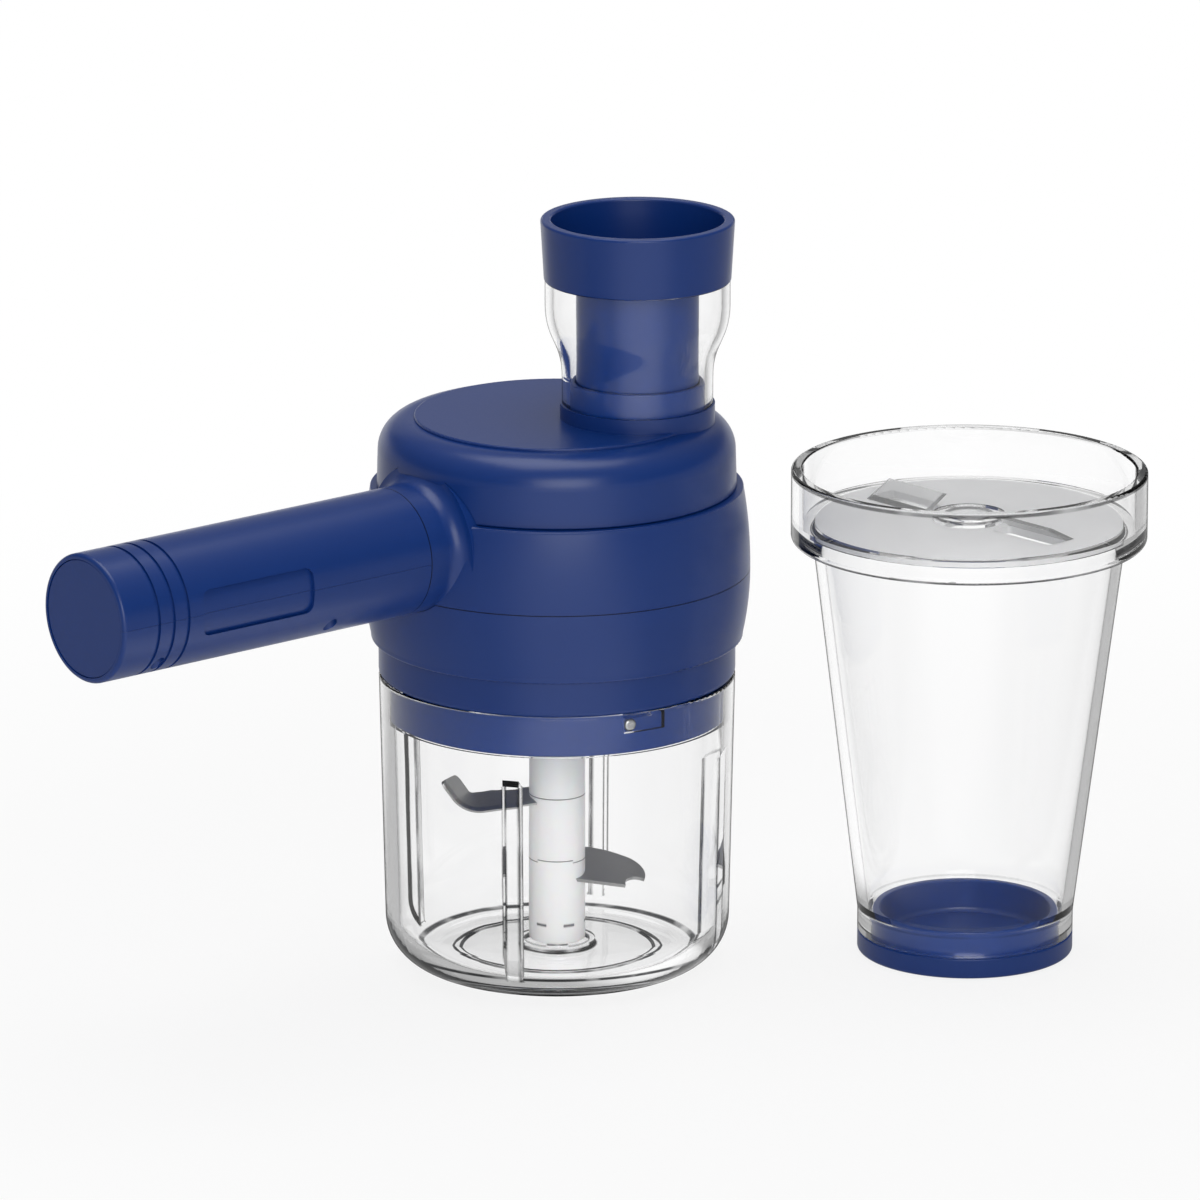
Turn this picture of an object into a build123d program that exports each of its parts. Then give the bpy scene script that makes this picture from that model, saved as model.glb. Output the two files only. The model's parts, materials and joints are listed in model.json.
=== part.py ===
from build123d import *
from math import asin, atan2, cos, degrees, hypot, pi, radians, sin
import os

os.makedirs("parts", exist_ok=True)

# Frame: origin on the table under the chopping bowl, +Z up the blade axis, handle along -X.

# Clearances
seam_gap = 0.15      # between mouldings of one housing
seat_gap = 0.1       # under a piece that rests on another and moves
slide_gap = 0.3      # round a piece that slides or turns in another
run_gap = 0.03       # round a shaft in its bush
fit_gap = 0.05       # round a fixed piece in its hole

# Chopping bowl
bowl_height = 84.2
bowl_rim_radius = 49.8
bowl_foot_radius = 48.0
bowl_rim_wall = 3.2
bowl_wall = 3.8
bowl_floor = 4.6
bowl_corner = 14.0
bowl_rim_round = 0.7
foot_groove_radius = 28.25
foot_groove_width = 3.1
foot_groove_depth = 1.6
foot_groove_slope = 0.9
rib_count = 4
rib_angle = 34.0
rib_width = 4.6
rib_depth = 3.8
rib_top = 66.5
rib_bevel = 4.0
boss_radius = 10.6
boss_wall = 1.5
boss_height = 1.8
pivot_radius = 3.0
pivot_height = 9.0
pivot_sink = 1.8

# Bayonet between head and bowl
twist_angle = 10.0
pin_count = 2
pin_angle = -105.0
pin_radius = 1.8
pin_drop = 3.5
pin_reach = 1.4

# Head, stacked upwards from the bowl's rim
ring_depth = 11.7
ring_wall = 2.6
plate_thickness = 2.5
collar_radius = 49.85
collar_height = 10.3
collar_round = 1.5
collar_inside = 5.6
band_low_radius = 51.85
band_seam_radius = 53.9
band_ledge_radius = 52.0
low_band_height = 20.0
high_band_height = 23.3
band_edge_round = 0.8
shell_wall = 2.4
shelf_width = 5.5
cover_radius = 50.05
cover_top_radius = 49.5
cover_height = 19.4
cover_round = 9.0
plateau_radius = 39.6
plateau_step = 0.9
plateau_round = 0.5

# Handle
handle_height = 128.7
handle_radius = 17.75
handle_end = 165.2
handle_wall = 2.2
handle_edge_round = 1.2
stub_end = 59.3
stub_flare = 4.6
stub_flare_length = 6.0
stub_root = 36.0
stub_lip_length = 2.2
stub_lip_wall = 2.0
end_cap_radius = 16.2
end_cap_thickness = 3.0
end_cap_inset = 0.2
groove_count = 3
groove_first = 11.9
groove_pitch = 5.0
groove_width = 1.0
groove_depth = 0.6
recess_start = 27.4
recess_length = 37.5
recess_width = 12.8
recess_depth = 1.0
recess_corner = 2.4

# Feed tube, pusher and chute
chute_angle = -48.0
tube_offset = 22.6
tube_collar_radius = 21.5
tube_collar_height = 5.0
tube_low_radius = 20.95
tube_rim_radius = 25.65
tube_wall = 2.2
tube_height = 34.9
tube_neck = 7.2
tube_flare = 21.0
tube_spigot_wall = 1.6
tube_spigot_length = 3.6
drop_offset = 28.0
drop_radius = 13.0
drop_wall = 1.4
drop_funnel = 15.0
pusher_cap_height = 17.1
pusher_cap_low_radius = 25.9
pusher_cap_top_radius = 26.9
pusher_cap_wall = 3.0
pusher_floor = 2.6
pusher_stem_radius = 17.0
pusher_stem_length = 29.1
pusher_stem_wall = 2.0
pusher_lip_round = 0.7

# Drive
shaft_radius = 3.0
bush_radius = 5.0
bush_length = 8.0
bush_flange = 1.0
bush_flange_radius = 6.6
tower_radius = 8.0
hex_flats = 9.0
hex_length = 16.0
hub_radius = 7.85
hub_bottom = 6.4
hub_top = 66.0
tooth_module = 0.9
crown_teeth = 24
pinion_teeth = 10
tooth_share = 0.36      # tooth thickness as a share of the pitch
tooth_clearance = 0.2
crown_face = 2.6
crown_plate = 4.0
pinion_length = 5.4
motor_radius = 12.2
motor_length = 30.8
motor_front = 18.2
motor_boss_radius = 3.0
motor_boss_length = 1.5
motor_shaft_radius = 1.15
motor_bell_radius = 11.4
motor_bell_length = 3.2
motor_plate_width = 27.0
motor_plate_thickness = 2.0
motor_screw_spread = 8.0
seal_radius = 7.0

# Blades
blade_thickness = 1.2
blade_angle = 154.0
upper_blade_height = 47.0
upper_blade_reach = 34.0
upper_blade_width = 14.0
upper_blade_bend = 50.0
upper_blade_crease = 23.0
upper_blade_skew = 3.0
lower_blade_height = 27.0
lower_blade_reach = 28.0
lower_blade_width = 15.0
lower_blade_tilt = 20.0

# Electrics in the handle
cell_radius = 9.2
cell_length = 65.0
cell_start = 88.0
contact_thickness = 0.6
cradle_count = 3
cradle_width = 2.0
board_start = 62.4
board_length = 22.0
board_width = 28.0
board_thickness = 1.2
board_drop = 2.0
switch_length = 12.8
switch_width = 5.8
switch_height = 6.2
plunger_radius = 1.2
plunger_length = 4.0
trigger_middle = 72.5
trigger_length = 15.0
trigger_width = 10.0
trigger_proud = 1.2
trigger_travel = 1.5
trigger_flange = 1.4
trigger_flange_lip = 1.2
trigger_corner = 2.0
socket_length = 9.0
socket_height = 3.2
socket_depth = 7.4

# Screws
housing_screw_count = 3
housing_screw_circle = 39.0
housing_screw_angle = 0.0
housing_screw_radius = 1.4
housing_screw_head = 2.7
housing_screw_head_height = 2.0
housing_screw_length = 40.0
column_radius = 3.6
handle_screw_radius = 1.0
handle_screw_head = 1.9
handle_screw_head_height = 1.6
handle_screw_length = 9.5
handle_screw_spread = 12.4
handle_screw_drop = 4.0
handle_boss_radius = 2.9
handle_boss_height = 8.5

# Slicing cup beside the chopper
cup_distance = 115.5
cup_angle = -35.5
cup_height = 139.8
cup_rim_radius = 49.8
cup_rim_height = 20.6
cup_rim_round = 1.8
cup_foot_radius = 30.4
cup_top_radius = 43.7
cup_wall = 2.6
cup_band_height = 6.0
cap_flange_height = 5.8
cap_plug_radius = 26.3
cap_plug_height = 6.8
cap_plug_wall = 2.2
cap_floor = 3.2
cap_round = 1.0
disc_radius = 43.0
disc_thickness = 2.2
disc_ledge = 2.0
disc_hub_radius = 10.2
disc_hub_rise = 1.6
disc_hub_hole = 6.3
disc_blade_angle = 92.0
disc_slot_start = 12.5
disc_slot_length = 22.0
disc_slot_width = 7.0
disc_blade_rise = 4.5
disc_blade_thickness = 1.2

# Heights worked out from the sizes above
rim_z = bowl_height
collar_z = rim_z + seat_gap
ring_z = rim_z - ring_depth
under_floor_z = collar_z + collar_inside
floor_z = under_floor_z + shell_wall
plate_z = under_floor_z - plate_thickness
step_z = collar_z + collar_height
seam_z = step_z + low_band_height
ledge_z = seam_z + high_band_height
cover_top_z = ledge_z + cover_height
plateau_z = cover_top_z + plateau_step
roof_z = cover_top_z - shell_wall
tube_z = cover_top_z + tube_collar_height
tube_rim_z = tube_z + tube_height
pusher_z = tube_rim_z + seat_gap
pin_z = rim_z - pin_drop
cup_rim_z = cup_height
disc_seat_z = cup_rim_z - ring_depth - disc_thickness - 2.7

# Radii worked out from the sizes above
bowl_mouth_radius = bowl_rim_radius - bowl_rim_wall
ring_radius = bowl_mouth_radius - slide_gap
handle_inside = handle_radius - handle_wall
pinion_pitch = tooth_module * pinion_teeth / 2
crown_pitch = tooth_module * crown_teeth / 2
crown_outer = crown_pitch + crown_face / 2
crown_inner = crown_pitch - crown_face / 2
mesh_z = handle_height - pinion_pitch
crown_root_z = mesh_z - tooth_module - tooth_clearance / 2
crown_top_z = mesh_z + tooth_module - tooth_clearance
crown_base_z = crown_root_z - crown_plate
bush_top_z = crown_base_z - slide_gap
tower_top_z = bush_top_z - bush_flange
hex_z = hub_top - hex_length
cup_mouth_radius = ring_radius + slide_gap


def polar(radius, angle, height=0.0):
    return (radius * cos(radians(angle)), radius * sin(radians(angle)), height)


def upright(centre):
    return Plane(origin=(centre[0], centre[1], 0), x_dir=(1, 0, 0), z_dir=(0, -1, 0))


def section(points, rounds=None, plane=Plane.XZ):
    corners = rounds or {}
    with BuildSketch(plane) as sketch:
        with BuildLine():
            FilletPolyline(*points, radius=[corners.get(i, 0) for i in range(len(points))], close=True)
        make_face()
    return sketch.sketch


def disc(radius, height, centre=(0, 0)):
    with BuildSketch(Plane.XY.offset(height)) as sketch:
        with Locations(centre[:2]):
            Circle(radius)
    return sketch.sketch


def discs(radius, height, centres):
    with BuildSketch(Plane.XY.offset(height)) as sketch:
        with Locations(*[centre[:2] for centre in centres]):
            Circle(radius)
    return sketch.sketch


def across(radius, start):
    with BuildSketch(Plane(origin=(-start, 0, handle_height), x_dir=(0, 1, 0), z_dir=(-1, 0, 0))) as sketch:
        Circle(radius)
    return sketch.sketch


def write(piece, name):
    piece.part.label = name
    export_step(piece.part, "parts/" + name + ".step")


handle_axis = Axis((0, 0, handle_height), (-1, 0, 0))
tube_centre = polar(tube_offset, chute_angle)
drop_centre = polar(drop_offset, chute_angle)
cup_centre = polar(cup_distance, cup_angle)
tube_axis = Axis(tube_centre, (0, 0, 1))
cup_axis = Axis(cup_centre, (0, 0, 1))
screw_centres = [
    polar(housing_screw_circle, housing_screw_angle + i * 360 / housing_screw_count)
    for i in range(housing_screw_count)
]
pin_angles = [pin_angle + i * 360 / pin_count for i in range(pin_count)]


# Chopping bowl: tapered clear wall, seat for the ring, four ribs and two bayonet slots

def bowl_outside(height):
    return bowl_foot_radius + (bowl_rim_radius - bowl_foot_radius) * height / bowl_height


bowl_seat_z = ring_z - slide_gap
bowl_seat_radius = bowl_outside(bowl_seat_z) - bowl_wall
bowl_inner_foot = bowl_outside(bowl_floor) - bowl_wall
slot_low_z = pin_z - pin_radius - slide_gap
slot_high_z = pin_z + pin_radius + slide_gap
slot_radius = ring_radius + pin_reach + slide_gap
pin_half_angle = degrees(asin((pin_radius + slide_gap) / ring_radius))

with BuildPart() as chopping_bowl:
    groove_out = foot_groove_radius + foot_groove_width / 2
    groove_in = foot_groove_radius - foot_groove_width / 2
    bowl_points = [
        (groove_out, 0),
        (bowl_foot_radius, 0),
        (bowl_rim_radius, rim_z),
        (bowl_mouth_radius, rim_z),
        (bowl_mouth_radius, bowl_seat_z),
        (bowl_seat_radius, bowl_seat_z),
        (bowl_inner_foot, bowl_floor),
        (0, bowl_floor),
        (0, 0),
        (groove_in, 0),
        (groove_in + foot_groove_slope, foot_groove_depth),
        (groove_out - foot_groove_slope, foot_groove_depth),
    ]
    bowl_rounds = {1: bowl_corner, 2: bowl_rim_round, 6: bowl_corner - bowl_wall}
    revolve(section(bowl_points, bowl_rounds), axis=Axis.Z)
    extrude(disc(boss_radius, bowl_floor), amount=boss_height)
    extrude(disc(boss_radius - boss_wall, bowl_floor), amount=boss_height, mode=Mode.SUBTRACT)
    for i in range(rib_count):
        rib_wall_radius = bowl_outside(rib_top) - bowl_wall
        rib_points = [
            (bowl_inner_foot - rib_depth, bowl_floor - bowl_wall / 4),
            (rib_wall_radius - rib_depth, rib_top - rib_bevel),
            (rib_wall_radius + bowl_wall / 2, rib_top),
            (bowl_outside(bowl_corner) - bowl_wall / 2, bowl_corner),
        ]
        rib_plane = Plane.XZ.rotated((0, 0, rib_angle + i * 360 / rib_count))
        extrude(section(rib_points, plane=rib_plane), amount=rib_width / 2, both=True)
    for angle in pin_angles:
        run_points = [
            (bowl_mouth_radius - 1, slot_low_z),
            (slot_radius, slot_low_z),
            (slot_radius, slot_high_z),
            (bowl_mouth_radius - 1, slot_high_z),
        ]
        run_plane = Plane.XZ.rotated((0, 0, angle - pin_half_angle))
        revolve(
            section(run_points, plane=run_plane),
            axis=Axis.Z,
            revolution_arc=twist_angle + 2 * pin_half_angle,
            mode=Mode.SUBTRACT,
        )
        entry_points = [
            (bowl_mouth_radius - 1, pin_z),
            (slot_radius, pin_z),
            (slot_radius, rim_z + 1),
            (bowl_mouth_radius - 1, rim_z + 1),
        ]
        entry_plane = Plane.XZ.rotated((0, 0, angle + twist_angle - pin_half_angle))
        revolve(
            section(entry_points, plane=entry_plane),
            axis=Axis.Z,
            revolution_arc=2 * pin_half_angle,
            mode=Mode.SUBTRACT,
        )
    extrude(disc(pivot_radius, bowl_floor - pivot_sink), amount=pivot_sink, mode=Mode.SUBTRACT)
write(chopping_bowl, "chopping_bowl")

with BuildPart() as bowl_pivot_pin:
    extrude(disc(pivot_radius, bowl_floor - pivot_sink), amount=pivot_sink + pivot_height)
    fillet(bowl_pivot_pin.edges().sort_by(Axis.Z)[-1], radius=pivot_radius / 2)
write(bowl_pivot_pin, "bowl_pivot_pin")


# Coupling ring: plugs into the bowl, screwed under the lower housing

with BuildPart() as coupling_ring:
    ring_points = [
        (ring_radius - ring_wall, ring_z),
        (ring_radius, ring_z),
        (ring_radius, under_floor_z),
        (seal_radius, under_floor_z),
        (seal_radius, plate_z),
        (ring_radius - ring_wall, plate_z),
    ]
    revolve(section(ring_points, {0: 0.6, 1: 0.6}), axis=Axis.Z)
    extrude(disc(drop_radius + drop_wall + fit_gap, plate_z, drop_centre), amount=plate_thickness, mode=Mode.SUBTRACT)
    extrude(discs(housing_screw_radius + fit_gap, plate_z, screw_centres), amount=plate_thickness, mode=Mode.SUBTRACT)
    for angle in pin_angles:
        pin_plane = Plane(origin=polar(ring_radius - ring_wall - 1, angle, pin_z), z_dir=polar(1, angle))
        with BuildSketch(pin_plane):
            Circle(pin_radius)
        extrude(amount=ring_wall + 2, mode=Mode.SUBTRACT)
write(coupling_ring, "coupling_ring")

with BuildPart() as bayonet_pins:
    for angle in pin_angles:
        pin_plane = Plane(origin=polar(ring_radius - ring_wall, angle, pin_z), z_dir=polar(1, angle))
        with BuildSketch(pin_plane):
            Circle(pin_radius)
        extrude(amount=ring_wall + pin_reach)
        fillet(bayonet_pins.edges().filter_by(GeomType.CIRCLE).sort_by_distance(polar(90, angle, pin_z))[0], 0.8)
write(bayonet_pins, "bayonet_pins")


# Handle stub: trumpet flare into the head, also the shape that its neighbours are cut by

def stub_solid(grow):
    flare_start = stub_end - stub_flare_length
    flare_foot = flare_start - stub_flare
    with BuildPart() as stub:
        with BuildSketch(Plane.XZ) as sketch:
            with BuildLine():
                edge = Polyline(
                    (-stub_root, handle_height),
                    (-stub_end, handle_height),
                    (-stub_end, handle_height + handle_radius + grow),
                    (-flare_start, handle_height + handle_radius + grow),
                )
                rise = RadiusArc(
                    edge @ 1,
                    (-flare_foot, handle_height + handle_radius + stub_flare + grow),
                    -stub_flare,
                )
                Polyline(
                    rise @ 1,
                    (-stub_root, handle_height + handle_radius + stub_flare + grow),
                    (-stub_root, handle_height),
                )
            make_face()
        revolve(axis=handle_axis)
    return stub.part


def band_mid(end_radius):
    return band_seam_radius - (band_seam_radius - end_radius) / 4


# Lower housing: collar, lower band, floor with the bearing tower and screw columns

with BuildPart() as lower_housing:
    seam_low_z = seam_z - seam_gap / 2
    with BuildSketch(Plane.XZ):
        with BuildLine():
            foot = FilletPolyline(
                (0, under_floor_z),
                (ring_radius + fit_gap, under_floor_z),
                (ring_radius + fit_gap, collar_z),
                (collar_radius, collar_z),
                (collar_radius, step_z),
                (band_low_radius, step_z),
                (band_low_radius + 0.15, step_z + 2 * band_edge_round),
                radius=[0, 0.4, collar_round, 0, band_edge_round],
            )
            swell = ThreePointArc(
                foot @ 1,
                (band_mid(band_low_radius), (step_z + seam_z) / 2),
                (band_seam_radius, seam_low_z),
            )
            Polyline(
                swell @ 1,
                (band_seam_radius - shell_wall, seam_low_z),
                (band_low_radius - shell_wall, step_z + shell_wall),
                (collar_radius - shell_wall, floor_z),
                (0, floor_z),
                (0, under_floor_z),
            )
        make_face()
    revolve(axis=Axis.Z)
    extrude(disc(tower_radius, floor_z), amount=tower_top_z - floor_z)
    extrude(discs(column_radius, floor_z, screw_centres), amount=seam_low_z - floor_z)
    extrude(disc(bush_radius + fit_gap, under_floor_z), amount=tower_top_z - under_floor_z, mode=Mode.SUBTRACT)
    column_bore = discs(housing_screw_radius + fit_gap, under_floor_z, screw_centres)
    extrude(column_bore, amount=seam_z - under_floor_z, mode=Mode.SUBTRACT)
    extrude(
        disc(drop_radius + drop_wall + fit_gap, under_floor_z, drop_centre),
        amount=shell_wall,
        mode=Mode.SUBTRACT,
    )
    with BuildSketch(Plane.XY.offset(floor_z)):
        with Locations((-motor_front + motor_plate_thickness / 2, 0)):
            with Locations((motor_plate_thickness + 2 * fit_gap, 0), (-motor_plate_thickness - 2 * fit_gap, 0)):
                Rectangle(motor_plate_thickness, motor_plate_width)
    extrude(amount=2 * shell_wall)
    add(stub_solid(seam_gap), mode=Mode.SUBTRACT)
write(lower_housing, "lower_housing")


# Upper housing: upper band, shelf for the cover and the stub that carries the handle

with BuildPart() as upper_housing:
    seam_high_z = seam_z + seam_gap / 2
    stub_inside = handle_inside - stub_lip_wall - fit_gap
    with BuildSketch(Plane.XZ):
        with BuildLine():
            swell = ThreePointArc(
                (band_seam_radius, seam_high_z),
                (band_mid(band_ledge_radius), (seam_z + ledge_z) / 2),
                (band_ledge_radius, ledge_z - band_edge_round),
            )
            FilletPolyline(
                swell @ 1,
                (band_ledge_radius - 0.05, ledge_z),
                (band_ledge_radius - shelf_width, ledge_z),
                (band_ledge_radius - shelf_width, ledge_z - shell_wall),
                (band_ledge_radius - shell_wall, ledge_z - 2 * shell_wall),
                (band_seam_radius - shell_wall, seam_high_z),
                (band_seam_radius, seam_high_z),
                radius=[0.4, 0, 0, 0, 0],
            )
        make_face()
    revolve(axis=Axis.Z)
    with BuildPart(mode=Mode.PRIVATE) as stub_outside:
        add(stub_solid(0))
        extrude(disc(cover_radius - shell_wall - seam_gap, 0), amount=2 * handle_height, mode=Mode.SUBTRACT)
    add(stub_outside.part)
    extrude(across(handle_inside - fit_gap, stub_end), amount=stub_lip_length)
    extrude(across(stub_inside, 0), amount=handle_end, mode=Mode.SUBTRACT)
write(upper_housing, "upper_housing")


# Drop chute: funnel under the feed tube that narrows past the gears and opens over the bowl

def drop_solid(grow):
    with BuildPart() as drop:
        loft([
            disc(tube_low_radius - tube_wall + grow, roof_z, tube_centre),
            disc(drop_radius + grow, roof_z - drop_funnel, drop_centre),
        ])
        extrude(disc(drop_radius + grow, plate_z, drop_centre), amount=roof_z - drop_funnel - plate_z)
    return drop.part


# Top cover: rounded cap, raised round plate, collar for the feed tube and screw columns

tube_bore_radius = tube_low_radius - tube_wall + tube_spigot_wall + fit_gap
with BuildPart() as top_cover:
    cover_z = ledge_z + seam_gap
    cover_points = [
        (cover_radius, cover_z),
        (cover_top_radius, cover_top_z),
        (0, cover_top_z),
        (0, roof_z),
        (cover_top_radius - shell_wall, roof_z),
        (cover_radius - shell_wall, cover_z),
    ]
    cover_rounds = {0: 0.4, 1: cover_round, 4: cover_round - shell_wall}
    revolve(section(cover_points, cover_rounds), axis=Axis.Z)
    plateau_points = [
        (0, roof_z),
        (plateau_radius, roof_z),
        (plateau_radius, plateau_z),
        (0, plateau_z),
    ]
    revolve(section(plateau_points, {2: plateau_round}), axis=Axis.Z)
    extrude(disc(tube_collar_radius, roof_z, tube_centre), amount=tube_z - roof_z)
    extrude(discs(column_radius, seam_z + seam_gap / 2, screw_centres), amount=roof_z - seam_z)
    screw_bore = discs(housing_screw_radius + fit_gap, seam_z, screw_centres)
    extrude(screw_bore, amount=housing_screw_length - (seam_z - plate_z) + 1, mode=Mode.SUBTRACT)
    extrude(
        disc(tube_bore_radius, tube_z - tube_spigot_length - fit_gap, tube_centre),
        amount=tube_height,
        mode=Mode.SUBTRACT,
    )
    extrude(disc(tube_low_radius - tube_wall, roof_z, tube_centre), amount=tube_height, mode=Mode.SUBTRACT)
    add(drop_solid(drop_wall + fit_gap), mode=Mode.SUBTRACT)
    add(stub_solid(seam_gap), mode=Mode.SUBTRACT)
write(top_cover, "top_cover")


with BuildPart() as chute_liner:
    add(drop_solid(drop_wall))
    add(drop_solid(0), mode=Mode.SUBTRACT)
write(chute_liner, "chute_liner")


# Feed tube: spigot in the collar, straight neck, S-shaped flare and straight rim

with BuildPart() as feed_tube:
    neck_z = tube_z + tube_neck
    flare_z = neck_z + tube_flare
    flare_mid_z = (neck_z + flare_z) / 2
    with BuildSketch(upright(tube_centre)):
        with BuildLine():
            Line((tube_low_radius, tube_z), (tube_low_radius, neck_z))
            Bezier(
                (tube_low_radius, neck_z),
                (tube_low_radius, flare_mid_z),
                (tube_rim_radius, flare_mid_z),
                (tube_rim_radius, flare_z),
            )
            Polyline(
                (tube_rim_radius, flare_z),
                (tube_rim_radius, tube_rim_z),
                (tube_rim_radius - tube_wall, tube_rim_z),
                (tube_rim_radius - tube_wall, flare_z),
            )
            Bezier(
                (tube_rim_radius - tube_wall, flare_z),
                (tube_rim_radius - tube_wall, flare_mid_z),
                (tube_low_radius - tube_wall, flare_mid_z),
                (tube_low_radius - tube_wall, neck_z),
            )
            Polyline(
                (tube_low_radius - tube_wall, neck_z),
                (tube_low_radius - tube_wall, tube_z - tube_spigot_length),
                (tube_low_radius - tube_wall + tube_spigot_wall, tube_z - tube_spigot_length),
                (tube_low_radius - tube_wall + tube_spigot_wall, tube_z),
                (tube_low_radius, tube_z),
            )
        make_face()
    revolve(axis=tube_axis)
write(feed_tube, "feed_tube")


# Pusher: open-topped cap that rests on the tube's rim, with a hollow stem

with BuildPart() as pusher:
    stem_z = pusher_z - pusher_stem_length
    pusher_top_z = pusher_z + pusher_cap_height
    pusher_points = [
        (0, stem_z),
        (pusher_stem_radius, stem_z),
        (pusher_stem_radius, pusher_z),
        (pusher_cap_low_radius, pusher_z),
        (pusher_cap_top_radius, pusher_top_z),
        (pusher_cap_top_radius - pusher_cap_wall, pusher_top_z),
        (pusher_cap_low_radius - pusher_cap_wall, pusher_z + pusher_floor),
        (pusher_stem_radius - pusher_stem_wall, pusher_z + pusher_floor),
        (pusher_stem_radius - pusher_stem_wall, stem_z + pusher_floor),
        (0, stem_z + pusher_floor),
    ]
    pusher_rounds = {1: 1.0, 3: 0.4, 4: pusher_lip_round, 5: pusher_lip_round, 6: 1.5}
    revolve(section(pusher_points, pusher_rounds, upright(tube_centre)), axis=tube_axis)
write(pusher, "pusher")


# Handle shells: two halves of a grip with rings, a side recess, cell cradles and screw bosses

handle_start = stub_end + seam_gap
mouth_start = handle_end - end_cap_inset - end_cap_thickness
screw_places = [
    (along, side * handle_screw_spread)
    for along in (cell_start + handle_boss_radius, cell_start + cell_length - handle_boss_radius)
    for side in (1, -1)
]


def grip_half(side):
    half_axis = Axis((0, 0, handle_height), (side, 0, 0))
    with BuildPart() as half:
        with BuildSketch(Plane.XY.offset(handle_height)):
            with BuildLine():
                FilletPolyline(
                    (-handle_start, handle_inside),
                    (-mouth_start, handle_inside),
                    (-mouth_start, end_cap_radius + fit_gap),
                    (-handle_end, end_cap_radius + fit_gap),
                    (-handle_end, handle_radius),
                    (-handle_start, handle_radius),
                    radius=[0, 0, 0, 0, handle_edge_round, 0],
                    close=True,
                )
            make_face()
        revolve(axis=half_axis, revolution_arc=180)
        for i in range(groove_count):
            groove_at = handle_end - groove_first - i * groove_pitch
            with BuildSketch(Plane.XY.offset(handle_height)):
                with Locations((-groove_at, handle_radius)):
                    Rectangle(groove_width, 2 * groove_depth)
            revolve(axis=half_axis, mode=Mode.SUBTRACT)
        cradle_step = cell_length / cradle_count
        for i in range(cradle_count):
            cradle_at = cell_start + (i + 0.5) * cradle_step
            with BuildSketch(Plane.XY.offset(handle_height)):
                with Locations((-cradle_at, (cell_radius + handle_inside) / 2 + fit_gap)):
                    Rectangle(cradle_width, handle_inside - cell_radius)
            revolve(axis=half_axis, revolution_arc=180)
        bosses = discs(handle_boss_radius, handle_height, [(-along, across_y) for along, across_y in screw_places])
        extrude(bosses, amount=side * handle_boss_height)
        with BuildPart(mode=Mode.PRIVATE) as recess:
            with BuildSketch(Plane.XZ):
                with Locations((-handle_end + recess_start + recess_length / 2, handle_height)):
                    RectangleRounded(recess_length, recess_width, recess_corner)
            extrude(amount=2 * handle_radius, both=True)
            extrude(across(handle_radius - recess_depth, 0), amount=2 * handle_end, mode=Mode.SUBTRACT)
        add(recess.part, mode=Mode.SUBTRACT)
        with BuildSketch(Plane.XY.offset(handle_height)):
            with Locations((-handle_end / 2, 0)):
                Rectangle(2 * handle_end, 3 * handle_radius)
        extrude(amount=seam_gap / 4, both=True, mode=Mode.SUBTRACT)
    return half.part


socket_bottom = handle_height - board_drop + board_thickness
socket_middle = socket_bottom + socket_height / 2
socket_plane = Plane(
    origin=(-trigger_middle, handle_radius - fit_gap, socket_middle), x_dir=(1, 0, 0), z_dir=(0, -1, 0)
)
boss_centres = [(-along, across_y) for along, across_y in screw_places]

with BuildPart() as handle_upper_shell:
    add(grip_half(1))
    extrude(
        discs(handle_screw_radius + fit_gap, handle_height, boss_centres),
        amount=handle_boss_height - 1,
        mode=Mode.SUBTRACT,
    )
    with BuildSketch(socket_plane):
        SlotOverall(socket_length + 2 * fit_gap, socket_height + 2 * fit_gap)
    extrude(amount=2 * handle_wall, both=True, mode=Mode.SUBTRACT)
write(handle_upper_shell, "handle_upper_shell")

with BuildPart() as handle_lower_shell:
    add(grip_half(-1))
    rail_plane = Plane.XY.offset(handle_height - board_drop)
    with BuildPart(mode=Mode.PRIVATE) as rails:
        with BuildSketch(rail_plane):
            with Locations((-board_start - board_length / 2, 0)):
                Rectangle(board_length, 2 * handle_radius)
                Rectangle(board_length, board_width - 2 * handle_wall, mode=Mode.SUBTRACT)
        extrude(amount=-handle_wall)
        extrude(across(handle_inside + handle_wall / 2, 0), amount=handle_end, mode=Mode.INTERSECT)
    add(rails.part)
    extrude(
        discs(handle_screw_radius + fit_gap, handle_height, boss_centres),
        amount=-handle_boss_height,
        mode=Mode.SUBTRACT,
    )
    extrude(
        discs(handle_screw_head + fit_gap, handle_height - handle_screw_drop, boss_centres),
        amount=-handle_radius,
        mode=Mode.SUBTRACT,
    )
    with BuildSketch(Plane.XY.offset(handle_height - handle_wall)):
        with Locations((-trigger_middle, 0)):
            RectangleRounded(
                trigger_length + 2 * slide_gap, trigger_width + 2 * slide_gap, trigger_corner + slide_gap
            )
    extrude(amount=-2 * handle_radius, mode=Mode.SUBTRACT)
    with BuildSketch(socket_plane):
        SlotOverall(socket_length + 2 * fit_gap, socket_height + 2 * fit_gap)
    extrude(amount=2 * handle_wall, both=True, mode=Mode.SUBTRACT)
write(handle_lower_shell, "handle_lower_shell")

with BuildPart() as handle_end_cap:
    extrude(across(end_cap_radius, mouth_start), amount=end_cap_thickness)
    fillet(handle_end_cap.edges().sort_by(Axis.X)[0], radius=0.4)
write(handle_end_cap, "handle_end_cap")


# Trigger under the handle, its switch and the board that holds them

board_z = handle_height - board_drop
switch_z = board_z - switch_height
trigger_flange_top = switch_z - plunger_length * 0.8
plunger_top = trigger_flange_top + plunger_length

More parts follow.
